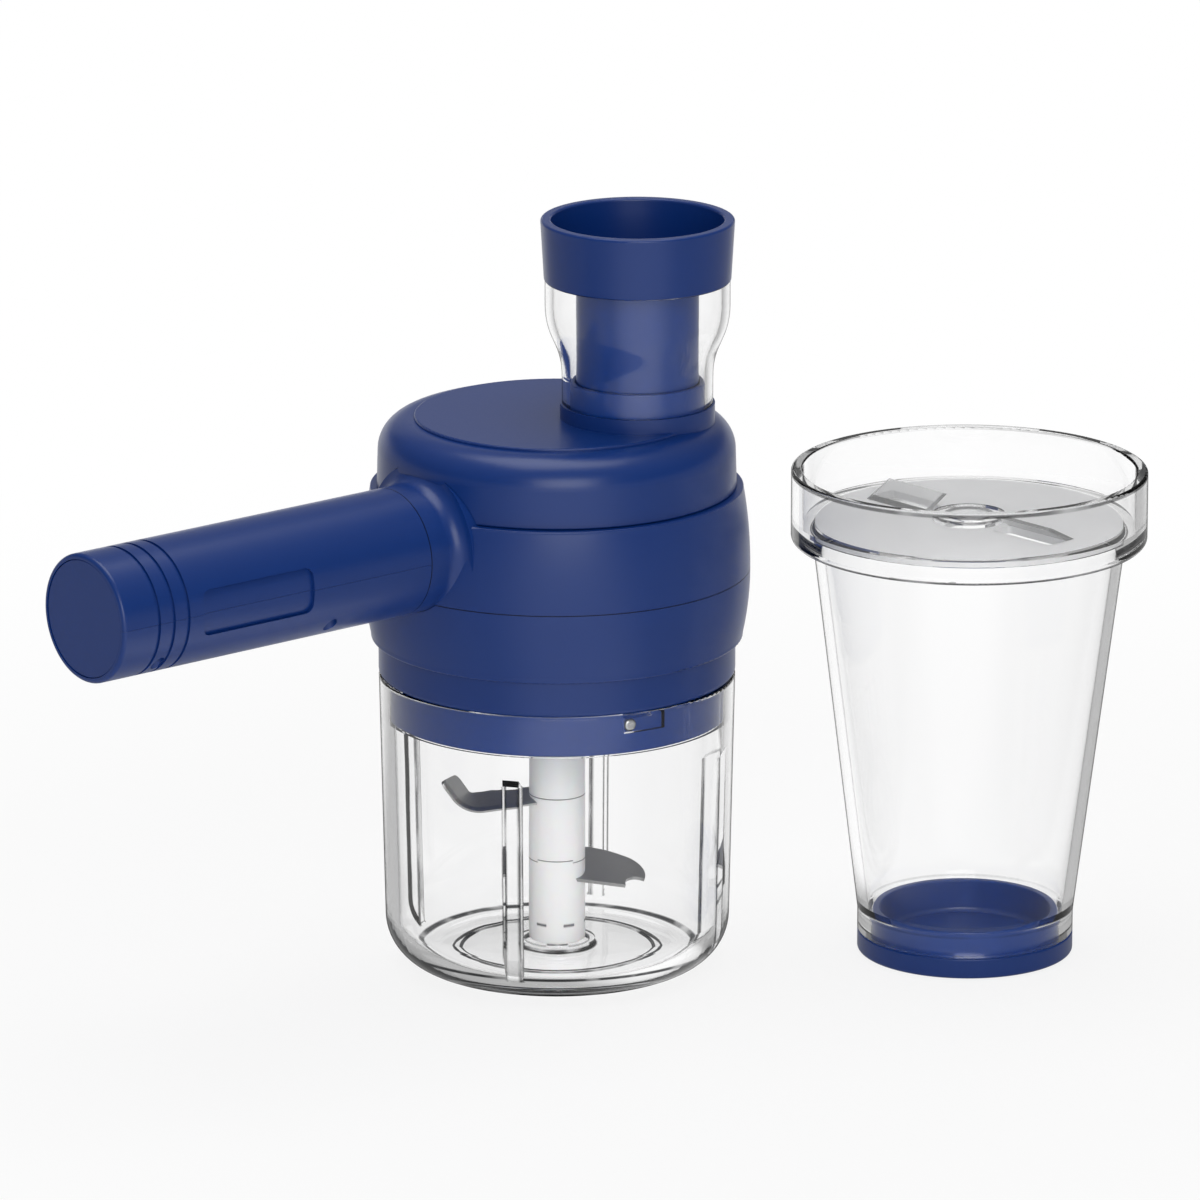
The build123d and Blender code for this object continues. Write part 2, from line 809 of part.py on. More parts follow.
with BuildPart() as trigger_button:
    with BuildSketch(Plane.XY.offset(trigger_flange_top)):
        with Locations((-trigger_middle, 0)):
            RectangleRounded(trigger_length, trigger_width, trigger_corner)
    extrude(amount=-2 * handle_radius)
    extrude(across(handle_radius + trigger_proud, 0), amount=handle_end, mode=Mode.INTERSECT)
    with BuildSketch(Plane.XY.offset(trigger_flange_top)):
        with Locations((-trigger_middle, 0)):
            Rectangle(trigger_length + 2 * trigger_flange_lip, trigger_width + 2 * trigger_flange_lip)
    extrude(amount=-trigger_flange)
    fillet(trigger_button.faces().sort_by(Axis.Z)[0].edges(), radius=0.8)
write(trigger_button, "trigger_button")

with BuildPart() as switch_plunger:
    extrude(disc(plunger_radius, trigger_flange_top, (-trigger_middle, 0)), amount=plunger_length)
write(switch_plunger, "switch_plunger")

with BuildPart() as microswitch:
    with BuildSketch(Plane.XY.offset(switch_z)):
        with Locations((-trigger_middle, 0)):
            Rectangle(switch_length, switch_width)
    extrude(amount=switch_height)
    extrude(
        disc(plunger_radius + 4 * run_gap, switch_z, (-trigger_middle, 0)),
        amount=plunger_top + trigger_travel + slide_gap - switch_z,
        mode=Mode.SUBTRACT,
    )
write(microswitch, "microswitch")

with BuildPart() as control_board:
    with BuildSketch(Plane.XY.offset(board_z)):
        with Locations((-board_start - board_length / 2, 0)):
            Rectangle(board_length, board_width)
    extrude(amount=board_thickness)
write(control_board, "control_board")

with BuildPart() as charge_socket:
    with BuildSketch(socket_plane):
        SlotOverall(socket_length, socket_height)
    extrude(amount=socket_depth)
    with BuildSketch(socket_plane):
        SlotOverall(socket_length - 0.8, socket_height - 0.8)
    extrude(amount=socket_depth - 1, mode=Mode.SUBTRACT)
    with BuildSketch(socket_plane.offset(1)):
        Rectangle(socket_length * 0.72, 0.7)
    extrude(amount=socket_depth - 1)
write(charge_socket, "charge_socket")


# Cell and its end contacts

with BuildPart() as battery_cell:
    extrude(across(cell_radius, cell_start), amount=cell_length)
    fillet(battery_cell.edges(), radius=0.8)
write(battery_cell, "battery_cell")

with BuildPart() as battery_contacts:
    extrude(across(cell_radius * 0.7, cell_start - contact_thickness), amount=contact_thickness)
    extrude(across(cell_radius * 0.7, cell_start + cell_length), amount=contact_thickness)
write(battery_contacts, "battery_contacts")


# Motor on its plate, with the pinion over the crown gear

with BuildPart() as motor_plate:
    plate_plane = Plane(origin=(-motor_front, 0, 0), x_dir=(0, 1, 0), z_dir=(1, 0, 0))
    plate_top_z = handle_height + motor_radius
    with BuildSketch(plate_plane):
        with Locations((0, (floor_z + plate_top_z) / 2)):
            RectangleRounded(motor_plate_width, plate_top_z - floor_z, 2.0)
        with Locations((0, handle_height)):
            Circle(motor_boss_radius + fit_gap, mode=Mode.SUBTRACT)
        with Locations((0, handle_height + motor_screw_spread), (0, handle_height - motor_screw_spread)):
            Circle(handle_screw_radius + fit_gap, mode=Mode.SUBTRACT)
    extrude(amount=motor_plate_thickness)
write(motor_plate, "motor_plate")

with BuildPart() as motor_can:
    extrude(across(motor_radius, motor_front), amount=motor_length)
    fillet(motor_can.edges(), radius=1.0)
    extrude(across(motor_boss_radius, motor_front - motor_boss_length), amount=motor_boss_length + 1)
    extrude(
        across(motor_shaft_radius + run_gap, motor_front - motor_boss_length),
        amount=motor_length + motor_boss_length,
        mode=Mode.SUBTRACT,
    )
    with BuildSketch(plate_plane):
        with Locations((0, handle_height + motor_screw_spread), (0, handle_height - motor_screw_spread)):
            Circle(handle_screw_radius + fit_gap)
    extrude(amount=-4, mode=Mode.SUBTRACT)
write(motor_can, "motor_can")

with BuildPart() as motor_end_bell:
    bell_start = motor_front + motor_length
    extrude(across(motor_bell_radius, bell_start), amount=motor_bell_length)
    chamfer(motor_end_bell.edges().sort_by(Axis.X)[0], length=1.0)
    extrude(across(motor_shaft_radius + run_gap, bell_start), amount=motor_bell_length, mode=Mode.SUBTRACT)
write(motor_end_bell, "motor_end_bell")

with BuildPart() as motor_screws:
    for side in (1, -1):
        head_plane = Plane(
            origin=(-motor_front + motor_plate_thickness, 0, handle_height + side * motor_screw_spread),
            z_dir=(1, 0, 0),
        )
        with BuildSketch(head_plane):
            Circle(handle_screw_head)
        extrude(amount=handle_screw_head_height)
        with BuildSketch(head_plane):
            Circle(handle_screw_radius)
        extrude(amount=-motor_plate_thickness - 3.5)
write(motor_screws, "motor_screws")

pinion_start = crown_inner - slide_gap
with BuildPart() as motor_shaft:
    extrude(across(motor_shaft_radius, pinion_start), amount=motor_front + motor_length + motor_bell_length - pinion_start)
write(motor_shaft, "motor_shaft")


# Crown gear and pinion: straight teeth, a pinion tooth straight down in a crown gap at rest

tooth_half = tooth_share * pi * tooth_module / 2
tooth_tip_half = tooth_half * 0.55
pinion_root = pinion_pitch - tooth_module
pinion_tip = pinion_pitch + tooth_module - tooth_clearance

with BuildPart() as drive_pinion:
    with BuildSketch(Plane(origin=(-pinion_start, 0, handle_height), x_dir=(0, 1, 0), z_dir=(-1, 0, 0))):
        Circle(pinion_root)
        for i in range(pinion_teeth):
            with BuildLine(Plane.XY.rotated((0, 0, -90 + i * 360 / pinion_teeth))):
                Polyline(
                    (0, -tooth_half),
                    (pinion_pitch, -tooth_half),
                    (pinion_tip, -tooth_tip_half),
                    (pinion_tip, tooth_tip_half),
                    (pinion_pitch, tooth_half),
                    (0, tooth_half),
                    close=True,
                )
            make_face()
        Circle(motor_shaft_radius + fit_gap / 2, mode=Mode.SUBTRACT)
    extrude(amount=pinion_length)
write(drive_pinion, "drive_pinion")

with BuildPart() as crown_gear:
    crown_points = [
        (shaft_radius + fit_gap / 2, crown_base_z),
        (crown_outer, crown_base_z),
        (crown_outer, crown_root_z),
        (shaft_radius + fit_gap / 2, crown_root_z),
    ]
    revolve(section(crown_points), axis=Axis.Z)
    for i in range(crown_teeth):
        tooth_turn = 180 + (i + 0.5) * 360 / crown_teeth
        tooth_plane = Plane(
            origin=polar(crown_inner, tooth_turn), x_dir=polar(1, tooth_turn + 90), z_dir=polar(1, tooth_turn)
        )
        with BuildSketch(tooth_plane):
            with BuildLine():
                Polyline(
                    (-tooth_half, crown_root_z - 0.5),
                    (tooth_half, crown_root_z - 0.5),
                    (tooth_half, mesh_z),
                    (tooth_tip_half, crown_top_z),
                    (-tooth_tip_half, crown_top_z),
                    (-tooth_half, mesh_z),
                    close=True,
                )
            make_face()
        extrude(amount=crown_face - fit_gap)
write(crown_gear, "crown_gear")

with BuildPart() as drive_shaft:
    extrude(disc(shaft_radius, hex_z), amount=crown_root_z - hex_z)
    chamfer(drive_shaft.edges().sort_by(Axis.Z)[-1], length=0.4)
write(drive_shaft, "drive_shaft")

with BuildPart() as spindle_bushes:
    upper_points = [
        (shaft_radius + run_gap, bush_top_z - bush_length),
        (bush_radius, bush_top_z - bush_length),
        (bush_radius, tower_top_z),
        (bush_flange_radius, tower_top_z),
        (bush_flange_radius, bush_top_z),
        (shaft_radius + run_gap, bush_top_z),
    ]
    revolve(section(upper_points), axis=Axis.Z)
    lower_points = [
        (shaft_radius + run_gap, under_floor_z),
        (bush_radius, under_floor_z),
        (bush_radius, under_floor_z + bush_length),
        (shaft_radius + run_gap, under_floor_z + bush_length),
    ]
    revolve(section(lower_points), axis=Axis.Z)
write(spindle_bushes, "spindle_bushes")

with BuildPart() as shaft_seal:
    seal_points = [
        (shaft_radius + 2 * run_gap, plate_z),
        (seal_radius - fit_gap, plate_z),
        (seal_radius - fit_gap, under_floor_z),
        (shaft_radius + 1.0, under_floor_z),
        (shaft_radius + 2 * run_gap, under_floor_z - 1.0),
    ]
    revolve(section(seal_points), axis=Axis.Z)
write(shaft_seal, "shaft_seal")


# Drive coupling and the blade hub with its two blades

with BuildPart() as drive_coupling:
    with BuildSketch(Plane.XY.offset(hex_z)):
        RegularPolygon(hex_flats / 2, 6, major_radius=False)
        Circle(shaft_radius + fit_gap / 2, mode=Mode.SUBTRACT)
    extrude(amount=plate_z - slide_gap - hex_z)
    with BuildSketch(Plane.XY.offset(hub_top + seat_gap)):
        Circle(hub_radius)
        RegularPolygon(hex_flats / 2 - 0.2, 6, major_radius=False, mode=Mode.SUBTRACT)
    extrude(amount=2.0)
write(drive_coupling, "drive_coupling")


def blade_plane(angle, height, tilt=0.0):
    turned = Plane.XY.rotated((0, 0, angle))
    return Plane(origin=(0, 0, height), x_dir=turned.x_dir, z_dir=turned.z_dir).rotated((tilt, 0, 0))


upper_plane = blade_plane(blade_angle, upper_blade_height)
lower_plane = blade_plane(blade_angle - 180, lower_blade_height, lower_blade_tilt)


def upper_blade_solid(grow):
    half_width = upper_blade_width / 2
    root = -hub_radius * 0.7
    crease_near = (upper_blade_crease - upper_blade_skew, -half_width)
    crease_far = (upper_blade_crease + upper_blade_skew, half_width * 0.7)
    crease_run = (crease_far[0] - crease_near[0], crease_far[1] - crease_near[1])
    crease_half = hypot(*crease_run) / 2
    crease_turn = degrees(atan2(crease_run[0], crease_run[1]))
    crease_middle = ((crease_near[0] + crease_far[0]) / 2, (crease_near[1] + crease_far[1]) / 2)
    tip_length = (upper_blade_reach - upper_blade_crease) / cos(radians(upper_blade_bend))
    with BuildPart() as blade:
        with BuildSketch(upper_plane):
            with BuildLine():
                Polyline((root, -half_width * 0.75), crease_near, crease_far, (root, half_width * 0.75), close=True)
            make_face()
        extrude(amount=blade_thickness / 2 + grow, both=True)
        fold = Plane(
            origin=upper_plane.from_local_coords(Vector(*crease_middle, -blade_thickness / 2)),
            x_dir=polar(1, blade_angle - crease_turn),
            z_dir=(0, 0, 1),
        ).rotated((0, -upper_blade_bend, 0))
        with BuildSketch(fold):
            with BuildLine():
                base = Polyline((-blade_thickness / 2, -crease_half), (-blade_thickness / 2, crease_half))
                back = ThreePointArc(base @ 1, (tip_length * 0.7, crease_half * 0.75), (tip_length, crease_half * 0.1))
                ThreePointArc(back @ 1, (tip_length * 0.6, -crease_half * 0.55), base @ 0)
            make_face()
        extrude(amount=blade_thickness)
    return blade.part


def lower_blade_solid(grow):
    half_width = lower_blade_width / 2
    reach = lower_blade_reach
    with BuildPart() as blade:
        with BuildSketch(lower_plane):
            with BuildLine():
                edge = Polyline(
                    (-hub_radius * 0.7, half_width * 0.6),
                    (-hub_radius * 0.7, -half_width * 0.6),
                    (0, -half_width * 0.8),
                    (reach * 0.72, -half_width),
                )
                ThreePointArc(edge @ 1, (reach * 0.83, -half_width * 0.5), (reach * 0.97, -half_width * 0.55))
                ThreePointArc(
                    (reach * 0.97, -half_width * 0.55), (reach * 0.99, half_width * 0.1), (reach * 0.8, half_width * 0.75)
                )
                ThreePointArc(
                    (reach * 0.8, half_width * 0.75), (reach * 0.4, half_width * 1.1), (-hub_radius * 0.7, half_width * 0.6)
                )
            make_face()
        extrude(amount=blade_thickness / 2 + grow, both=True)
    return blade.part


with BuildPart() as blade_hub:
    hub_points = [
        (0, hub_bottom),
        (hub_radius, hub_bottom),
        (hub_radius, hub_top),
        (0, hub_top),
    ]
    revolve(section(hub_points, {1: 0.6, 2: 0.6}), axis=Axis.Z)
    with BuildSketch(Plane.XY.offset(hex_z - slide_gap)):
        RegularPolygon(hex_flats / 2 + slide_gap / 2, 6, major_radius=False)
    extrude(amount=hex_length + 1, mode=Mode.SUBTRACT)
    pin_bore_height = bowl_floor + pivot_height + slide_gap - hub_bottom
    extrude(disc(pivot_radius + 2 * run_gap, hub_bottom), amount=pin_bore_height, mode=Mode.SUBTRACT)
    add(upper_blade_solid(fit_gap), mode=Mode.SUBTRACT)
    add(lower_blade_solid(fit_gap), mode=Mode.SUBTRACT)
write(blade_hub, "blade_hub")

with BuildPart() as upper_blade:
    add(upper_blade_solid(0))
write(upper_blade, "upper_blade")

with BuildPart() as lower_blade:
    add(lower_blade_solid(0))
write(lower_blade, "lower_blade")


# Screws

with BuildPart() as housing_screws:
    extrude(discs(housing_screw_head, plate_z, screw_centres), amount=-housing_screw_head_height)
    extrude(discs(housing_screw_radius, plate_z, screw_centres), amount=housing_screw_length)
write(housing_screws, "housing_screws")

with BuildPart() as handle_screws:
    handle_head_z = handle_height - handle_screw_drop
    extrude(discs(handle_screw_head, handle_head_z, boss_centres), amount=-handle_screw_head_height)
    extrude(discs(handle_screw_radius, handle_head_z, boss_centres), amount=handle_screw_length)
write(handle_screws, "handle_screws")


# Slicing cup: tapered clear wall open at the bottom, thick rim with a ledge for the disc

cup_foot_z = cap_flange_height + seat_gap
cup_shoulder_z = cup_rim_z - cup_rim_height
cup_band_z = cup_foot_z + cup_band_height
ledge_inside = disc_radius - disc_ledge
with BuildPart() as slicing_cup:
    cup_points = [
        (cap_plug_radius + slide_gap, cup_foot_z),
        (cup_foot_radius, cup_foot_z),
        (cup_foot_radius, cup_band_z),
        (cup_top_radius, cup_shoulder_z),
        (cup_rim_radius, cup_shoulder_z),
        (cup_rim_radius, cup_rim_z),
        (cup_mouth_radius, cup_rim_z),
        (cup_mouth_radius, disc_seat_z + disc_thickness + seat_gap),
        (disc_radius + slide_gap, disc_seat_z + disc_thickness + seat_gap),
        (disc_radius + slide_gap, disc_seat_z),
        (ledge_inside, disc_seat_z),
        (cup_top_radius - cup_wall, cup_shoulder_z),
        (cup_foot_radius - cup_wall, cup_band_z + cup_wall),
        (cap_plug_radius + slide_gap, cup_band_z),
    ]
    cup_rounds = {1: 0.5, 2: 2.0, 3: 1.0, 4: cup_rim_round, 5: 0.8, 6: 0.6}
    revolve(section(cup_points, cup_rounds, upright(cup_centre)), axis=cup_axis)
write(slicing_cup, "slicing_cup")

with BuildPart() as cup_base_cap:
    cap_points = [
        (0, 0),
        (cup_foot_radius, 0),
        (cup_foot_radius, cap_flange_height),
        (cap_plug_radius, cap_flange_height),
        (cap_plug_radius, cap_flange_height + cap_plug_height),
        (cap_plug_radius - cap_plug_wall, cap_flange_height + cap_plug_height),
        (cap_plug_radius - cap_plug_wall, cap_floor),
        (0, cap_floor),
    ]
    cap_rounds = {1: cap_round, 2: 0.4, 4: 0.4, 5: 0.4, 6: 1.5}
    revolve(section(cap_points, cap_rounds, upright(cup_centre)), axis=cup_axis)
write(cup_base_cap, "cup_base_cap")


# Slicing disc: slotted frosted plate, hub ring and two raised blades

disc_z = disc_seat_z + seat_gap
disc_top_z = disc_z + disc_thickness - seat_gap
disc_plane = Plane(origin=(cup_centre[0], cup_centre[1], disc_z), x_dir=polar(1, disc_blade_angle), z_dir=(0, 0, 1))
slot_middle = disc_slot_start + disc_slot_length / 2

with BuildPart() as slicing_disc:
    with BuildSketch(disc_plane):
        Circle(disc_radius)
        Circle(disc_hub_radius, mode=Mode.SUBTRACT)
        with PolarLocations(slot_middle, 2):
            RectangleRounded(disc_slot_length, disc_slot_width, 1.5, mode=Mode.SUBTRACT)
    extrude(amount=disc_top_z - disc_z)
write(slicing_disc, "slicing_disc")

with BuildPart() as disc_hub:
    with BuildSketch(disc_plane):
        Circle(disc_hub_radius - fit_gap)
        RegularPolygon(hex_flats / 2 + slide_gap / 2, 6, major_radius=False, mode=Mode.SUBTRACT)
    extrude(amount=disc_top_z - disc_z + disc_hub_rise)
    with BuildSketch(disc_plane.offset(disc_top_z - disc_z)):
        Circle(disc_hub_hole)
    extrude(amount=disc_hub_rise, mode=Mode.SUBTRACT)
write(disc_hub, "disc_hub")

with BuildPart() as slicing_blades:
    for i in range(2):
        blade_turn = disc_blade_angle + 180 * i
        blade_start = polar(disc_slot_start, blade_turn, disc_top_z)
        side_plane = Plane(
            origin=(cup_centre[0] + blade_start[0], cup_centre[1] + blade_start[1], disc_top_z),
            x_dir=polar(1, blade_turn + 90),
            z_dir=polar(1, blade_turn),
        )
        back = disc_slot_width / 2
        with BuildSketch(side_plane):
            with BuildLine():
                Polyline(
                    (back, 0),
                    (back + 3.0, 0),
                    (-back * 0.6, disc_blade_rise),
                    (-back, disc_blade_rise - disc_blade_thickness * 0.4),
                    (back * 0.2, disc_blade_rise * 0.35),
                    close=True,
                )
            make_face()
        extrude(amount=disc_slot_length)
write(slicing_blades, "slicing_blades")
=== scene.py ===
import json
import math

import bmesh
import bpy
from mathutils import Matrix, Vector


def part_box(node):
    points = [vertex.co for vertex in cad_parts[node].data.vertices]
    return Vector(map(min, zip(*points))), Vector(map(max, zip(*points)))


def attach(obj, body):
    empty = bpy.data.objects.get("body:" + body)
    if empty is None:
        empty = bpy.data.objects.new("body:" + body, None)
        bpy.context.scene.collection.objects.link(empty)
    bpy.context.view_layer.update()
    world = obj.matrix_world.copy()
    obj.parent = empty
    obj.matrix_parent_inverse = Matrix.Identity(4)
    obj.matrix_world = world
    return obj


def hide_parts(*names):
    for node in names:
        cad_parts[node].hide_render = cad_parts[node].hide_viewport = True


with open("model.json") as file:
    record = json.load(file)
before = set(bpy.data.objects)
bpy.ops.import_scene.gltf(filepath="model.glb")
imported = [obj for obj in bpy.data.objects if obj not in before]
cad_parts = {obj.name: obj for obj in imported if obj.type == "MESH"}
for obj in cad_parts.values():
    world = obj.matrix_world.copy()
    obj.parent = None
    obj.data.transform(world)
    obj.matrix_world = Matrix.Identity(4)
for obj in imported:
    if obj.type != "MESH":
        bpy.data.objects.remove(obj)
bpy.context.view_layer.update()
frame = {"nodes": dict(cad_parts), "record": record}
nodes = frame["nodes"]
print("frame loaded:", len(nodes), "nodes")


class Wire:
    # one output socket, so that shader sums read as plain Python
    def __init__(self, finish, socket):
        self.finish = finish
        self.socket = socket

    def sums(self, operation, left, right):
        return self.finish.add("ShaderNodeMath", {"operation": operation}, {0: left, 1: right})

    def __add__(self, other):
        return self.sums("ADD", self, other)

    def __sub__(self, other):
        return self.sums("SUBTRACT", self, other)

    def __mul__(self, other):
        return self.sums("MULTIPLY", self, other)

    def __truediv__(self, other):
        return self.sums("DIVIDE", self, other)

    def __pow__(self, other):
        return self.sums("POWER", self, other)

    def __rsub__(self, other):
        return self.sums("SUBTRACT", other, self)

    def __abs__(self):
        return self.turned("ABSOLUTE")

    def larger(self, other):
        return self.sums("MAXIMUM", self, other)

    def smaller(self, other):
        return self.sums("MINIMUM", self, other)

    def equals(self, value, within=0.5):
        return self.finish.add("ShaderNodeMath", {"operation": "COMPARE"}, {0: self, 1: value, 2: within})

    def turned(self, operation):
        return self.finish.add("ShaderNodeMath", {"operation": operation}, {0: self})

    def below(self, limit):
        return self.sums("LESS_THAN", self, limit)

    def above(self, limit):
        return self.sums("GREATER_THAN", self, limit)

    __radd__ = __add__
    __rmul__ = __mul__


class Finish:
    # a material or the world, with one way to add any node
    def __init__(self, name, world=False):
        store = bpy.data.worlds if world else bpy.data.materials
        self.block = store.new(name)
        self.block.use_nodes = True
        self.tree = self.block.node_tree
        self.tree.nodes.clear()
        self.end = self.tree.nodes.new("ShaderNodeOutputWorld" if world else "ShaderNodeOutputMaterial")

    def add(self, kind, settings=None, sockets=None, out=0):
        node = self.tree.nodes.new(kind)
        for key, value in (settings or {}).items():
            setattr(node, key, value)
        for key, value in (sockets or {}).items():
            if isinstance(value, Wire):
                self.tree.links.new(value.socket, node.inputs[key])
            else:
                node.inputs[key].default_value = value
        return Wire(self, node.outputs[out])

    def blendColours(self, share, first, second):
        settings = {"data_type": "RGBA"}
        return self.add("ShaderNodeMix", settings, {0: share, 6: first, 7: second}, 2)

    def grey(self, level):
        return self.blendColours(level, rgb(0.0, 0.0, 0.0), rgb(1.0, 1.0, 1.0))

    def place(self):
        return self.add("ShaderNodeTexCoord", out=3)

    def noise(self, scale, detail=2.0, where=None):
        sockets = {"Vector": where or self.place(), "Scale": scale, "Detail": detail}
        return self.add("ShaderNodeTexNoise", None, sockets)

    def stretched(self, scale):
        return self.add("ShaderNodeMapping", None, {"Vector": self.place(), "Scale": scale})

    def upright(self, centre):
        # distance from an upright axis, the two ways across and the height
        parts = [self.add("ShaderNodeSeparateXYZ", None, {0: self.place()}, i) for i in range(3)]
        across = parts[0] - centre[0]
        deep = parts[1] - centre[1]
        return (across * across + deep * deep) ** 0.5, across, deep, parts[2]

    def spread(self, value, low, high, least=0.0, most=1.0):
        ends = {"Value": value, "From Min": low, "From Max": high, "To Min": least, "To Max": most}
        return self.add("ShaderNodeMapRange", {"clamp": True, "interpolation_type": "SMOOTHSTEP"}, ends)

    def nearTo(self, value, middle, reach):
        return self.spread(abs(value - middle), 0.0, reach, 1.0, 0.0)

    def bump(self, height, depth):
        return self.add("ShaderNodeBump", None, {"Height": height, "Distance": depth, "Strength": 1.0})

    def show(self, shader):
        self.tree.links.new(shader.socket, self.end.inputs["Surface"])
        return self.block


def rgb(red, green, blue):
    return (red, green, blue, 1.0)


def darkened(colour, share):
    return rgb(*[share * part for part in colour[:3]])


# Upright axes of the two vessels, and the level that noise swings about
headAxis = (0.0, 0.0)
cupAxis = (0.09403, -0.06707)
noiseMiddle = 0.5

# Navy moulded plastic: satin, with a fine spark-eroded grain
bluePlastic = {
    "colour": rgb(0.0030, 0.0340, 0.200),
    "paler": rgb(0.0040, 0.0380, 0.215),
    "cloudScale": 38.0,
    "cloudDetail": 3.0,
    "roughness": 0.32,
    "roughnessSpread": 0.08,
    "grainSize": 0.00045,
    "grainDepth": 0.000008,
    "specular": 0.5,
}


# Painted shade in the seams where two mouldings of the housing meet: the seam round the bands and the one
# at the end of the stub
housingSeamShade = {
    "bandHeight": 0.1146,
    "bandRadius": 0.0539,
    "stubEnd": -0.0593,
    "halfWidth": 0.00026,
    "depth": 0.0004,
    # near-black navy: the shade in the seam gap, painted into the colour
    "colour": rgb(0.0004, 0.0028, 0.016),
}


def seamShadeShare(finish, look):
    out, across, _, height = finish.upright(headAxis)
    wall = finish.nearTo(out, look["bandRadius"], look["depth"])
    band = finish.nearTo(height, look["bandHeight"], look["halfWidth"]) * wall
    return band.larger(finish.nearTo(across, look["stubEnd"], look["halfWidth"]))


def mouldedBlue(name, look, seamShade=None):
    finish = Finish(name)
    cloud = finish.noise(look["cloudScale"], look["cloudDetail"])
    grain = finish.noise(1 / look["grainSize"])
    tint = finish.blendColours(cloud, look["colour"], look["paler"])
    if seamShade:
        # painted seam shade laid over the navy
        tint = finish.blendColours(seamShadeShare(finish, seamShade), tint, seamShade["colour"])
    dull = look["roughness"] + look["roughnessSpread"] * (grain - noiseMiddle)
    return finish.show(finish.add("ShaderNodeBsdfPrincipled", None, {
        "Base Color": tint,
        "Roughness": dull,
        "Specular IOR Level": look["specular"],
        "Normal": finish.bump(grain, look["grainDepth"]),
    }))


# Clear moulded plastic: bends light, has painted shade where it is seen edge on, in place of the dark
# surroundings that real clear plastic bends into view, and lets lamps through
clearPlastic = {
    "colour": rgb(0.998, 0.998, 0.999),
    # edge is the colour of that painted edge shade
    "edge": rgb(0.012, 0.014, 0.018),
    "edgeStart": 0.84,
    "edgePower": 0.7,
    "shade": rgb(0.990, 0.991, 0.992),
    "roughness": 0.0,
    "index": 1.34,
    "blend": 0.5,
}

# How all these painted shade lines are drawn: the share that is fully dark, and the streaks that break
# them up
paintedLineLook = {
    "core": 0.4,
    "streakLow": 0.3,
    "streakHigh": 0.55,
    "faintest": 0.35,
}

# Painted shade lines on the bowl, in place of the dark lines its moulded edges bend into view: foot
# groove, boss, foot and the sides of the ribs
bowlPaintedShadeLines = {
    "centre": headAxis,
    "rings": (
        {"radius": 0.02715, "height": 0.0008, "reach": 0.0010, "share": 0.92},
        {"radius": 0.02935, "height": 0.0008, "reach": 0.0010, "share": 0.92},
        {"radius": 0.01060, "height": 0.0050, "reach": 0.0010, "share": 0.95},
        {"radius": 0.04050, "height": 0.0016, "reach": 0.0016, "share": 0.97},
    ),
    "ribTurn": 34.0,
    "ribHalf": 0.0023,
    "ribFace": 0.0404,
    "ribDepth": 0.0038,
    "ribLean": 0.0214,
    "ribTop": 0.0632,
    "ribFoot": 0.0060,
    "ribReach": 0.0006,
    "ribShare": 0.92,
    "bandMiddle": 0.0016,
    "bandReach": 0.0011,
    "streak": (90.0, 90.0, 55.0),
}

# Painted shade lines on the cup: both edges of its rim, the shoulder under it and the foot band
cupPaintedShadeLines = {
    "centre": cupAxis,
    "rings": (
        {"radius": 0.0498, "height": 0.1390, "reach": 0.0007, "share": 0.7},
        {"radius": 0.0466, "height": 0.1398, "reach": 0.0005, "share": 0.7},
        {"radius": 0.0490, "height": 0.1195, "reach": 0.0010, "share": 0.75},
        {"radius": 0.0310, "height": 0.0120, "reach": 0.0008, "share": 0.6},
    ),
    "streak": (60.0, 60.0, 60.0),
}

# Painted shade lines on the slicing disc's hub: its outer edge and the edge of its hole
discHubPaintedShadeLines = {
    "centre": cupAxis,
    "rings": (
        {"radius": 0.01015, "height": 0.12700, "reach": 0.0009, "share": 0.6},
        {"radius": 0.00630, "height": 0.12700, "reach": 0.0009, "share": 0.6},
    ),
    "streak": (60.0, 60.0, 60.0),
}


def ribPaintedShade(finish, look, across, deep, height):
    # painted shade along the upright edges of four ribs, with a broader painted band on one side of each
    turn = math.radians(look["ribTurn"])
    forward = across * math.cos(turn) + deep * math.sin(turn)
    leftward = deep * math.cos(turn) - across * math.sin(turn)
    ahead = abs(forward)
    aside = abs(leftward)
    narrow = ahead.smaller(aside)
    oneSide = (forward * leftward * (ahead - aside)).above(0.0)
    band = oneSide * finish.nearTo(narrow, look["bandMiddle"], look["bandReach"])
    side = finish.nearTo(narrow, look["ribHalf"], look["ribReach"]).larger(band)
    depth = ahead.larger(aside) - height * look["ribLean"] - look["ribFace"]
    face = finish.nearTo(depth, 0.0, look["ribReach"])
    root = finish.nearTo(depth, look["ribDepth"], look["ribReach"])
    span = height.below(look["ribTop"]) * height.above(look["ribFoot"])
    return side * face.larger(root) * span * look["ribShare"]


def paintedShadeLines(finish, look):
    # painted shade: dark rings and rib edges in the clear plastic, broken up by streaks
    out, across, deep, height = finish.upright(look["centre"])
    lines = 0.0
    for ring in look["rings"]:
        away = out - ring["radius"]
        rise = height - ring["height"]
        gap = (away * away + rise * rise) ** 0.5
        line = finish.spread(gap, paintedLineLook["core"] * ring["reach"], ring["reach"], ring["share"], 0.0)
        lines = line.larger(lines)
    if "ribTurn" in look:
        lines = lines.larger(ribPaintedShade(finish, look, across, deep, height))
    streaks = finish.noise(1.0, where=finish.stretched(look["streak"]))
    return lines * finish.spread(
        streaks, paintedLineLook["streakLow"], paintedLineLook["streakHigh"], paintedLineLook["faintest"]
    )


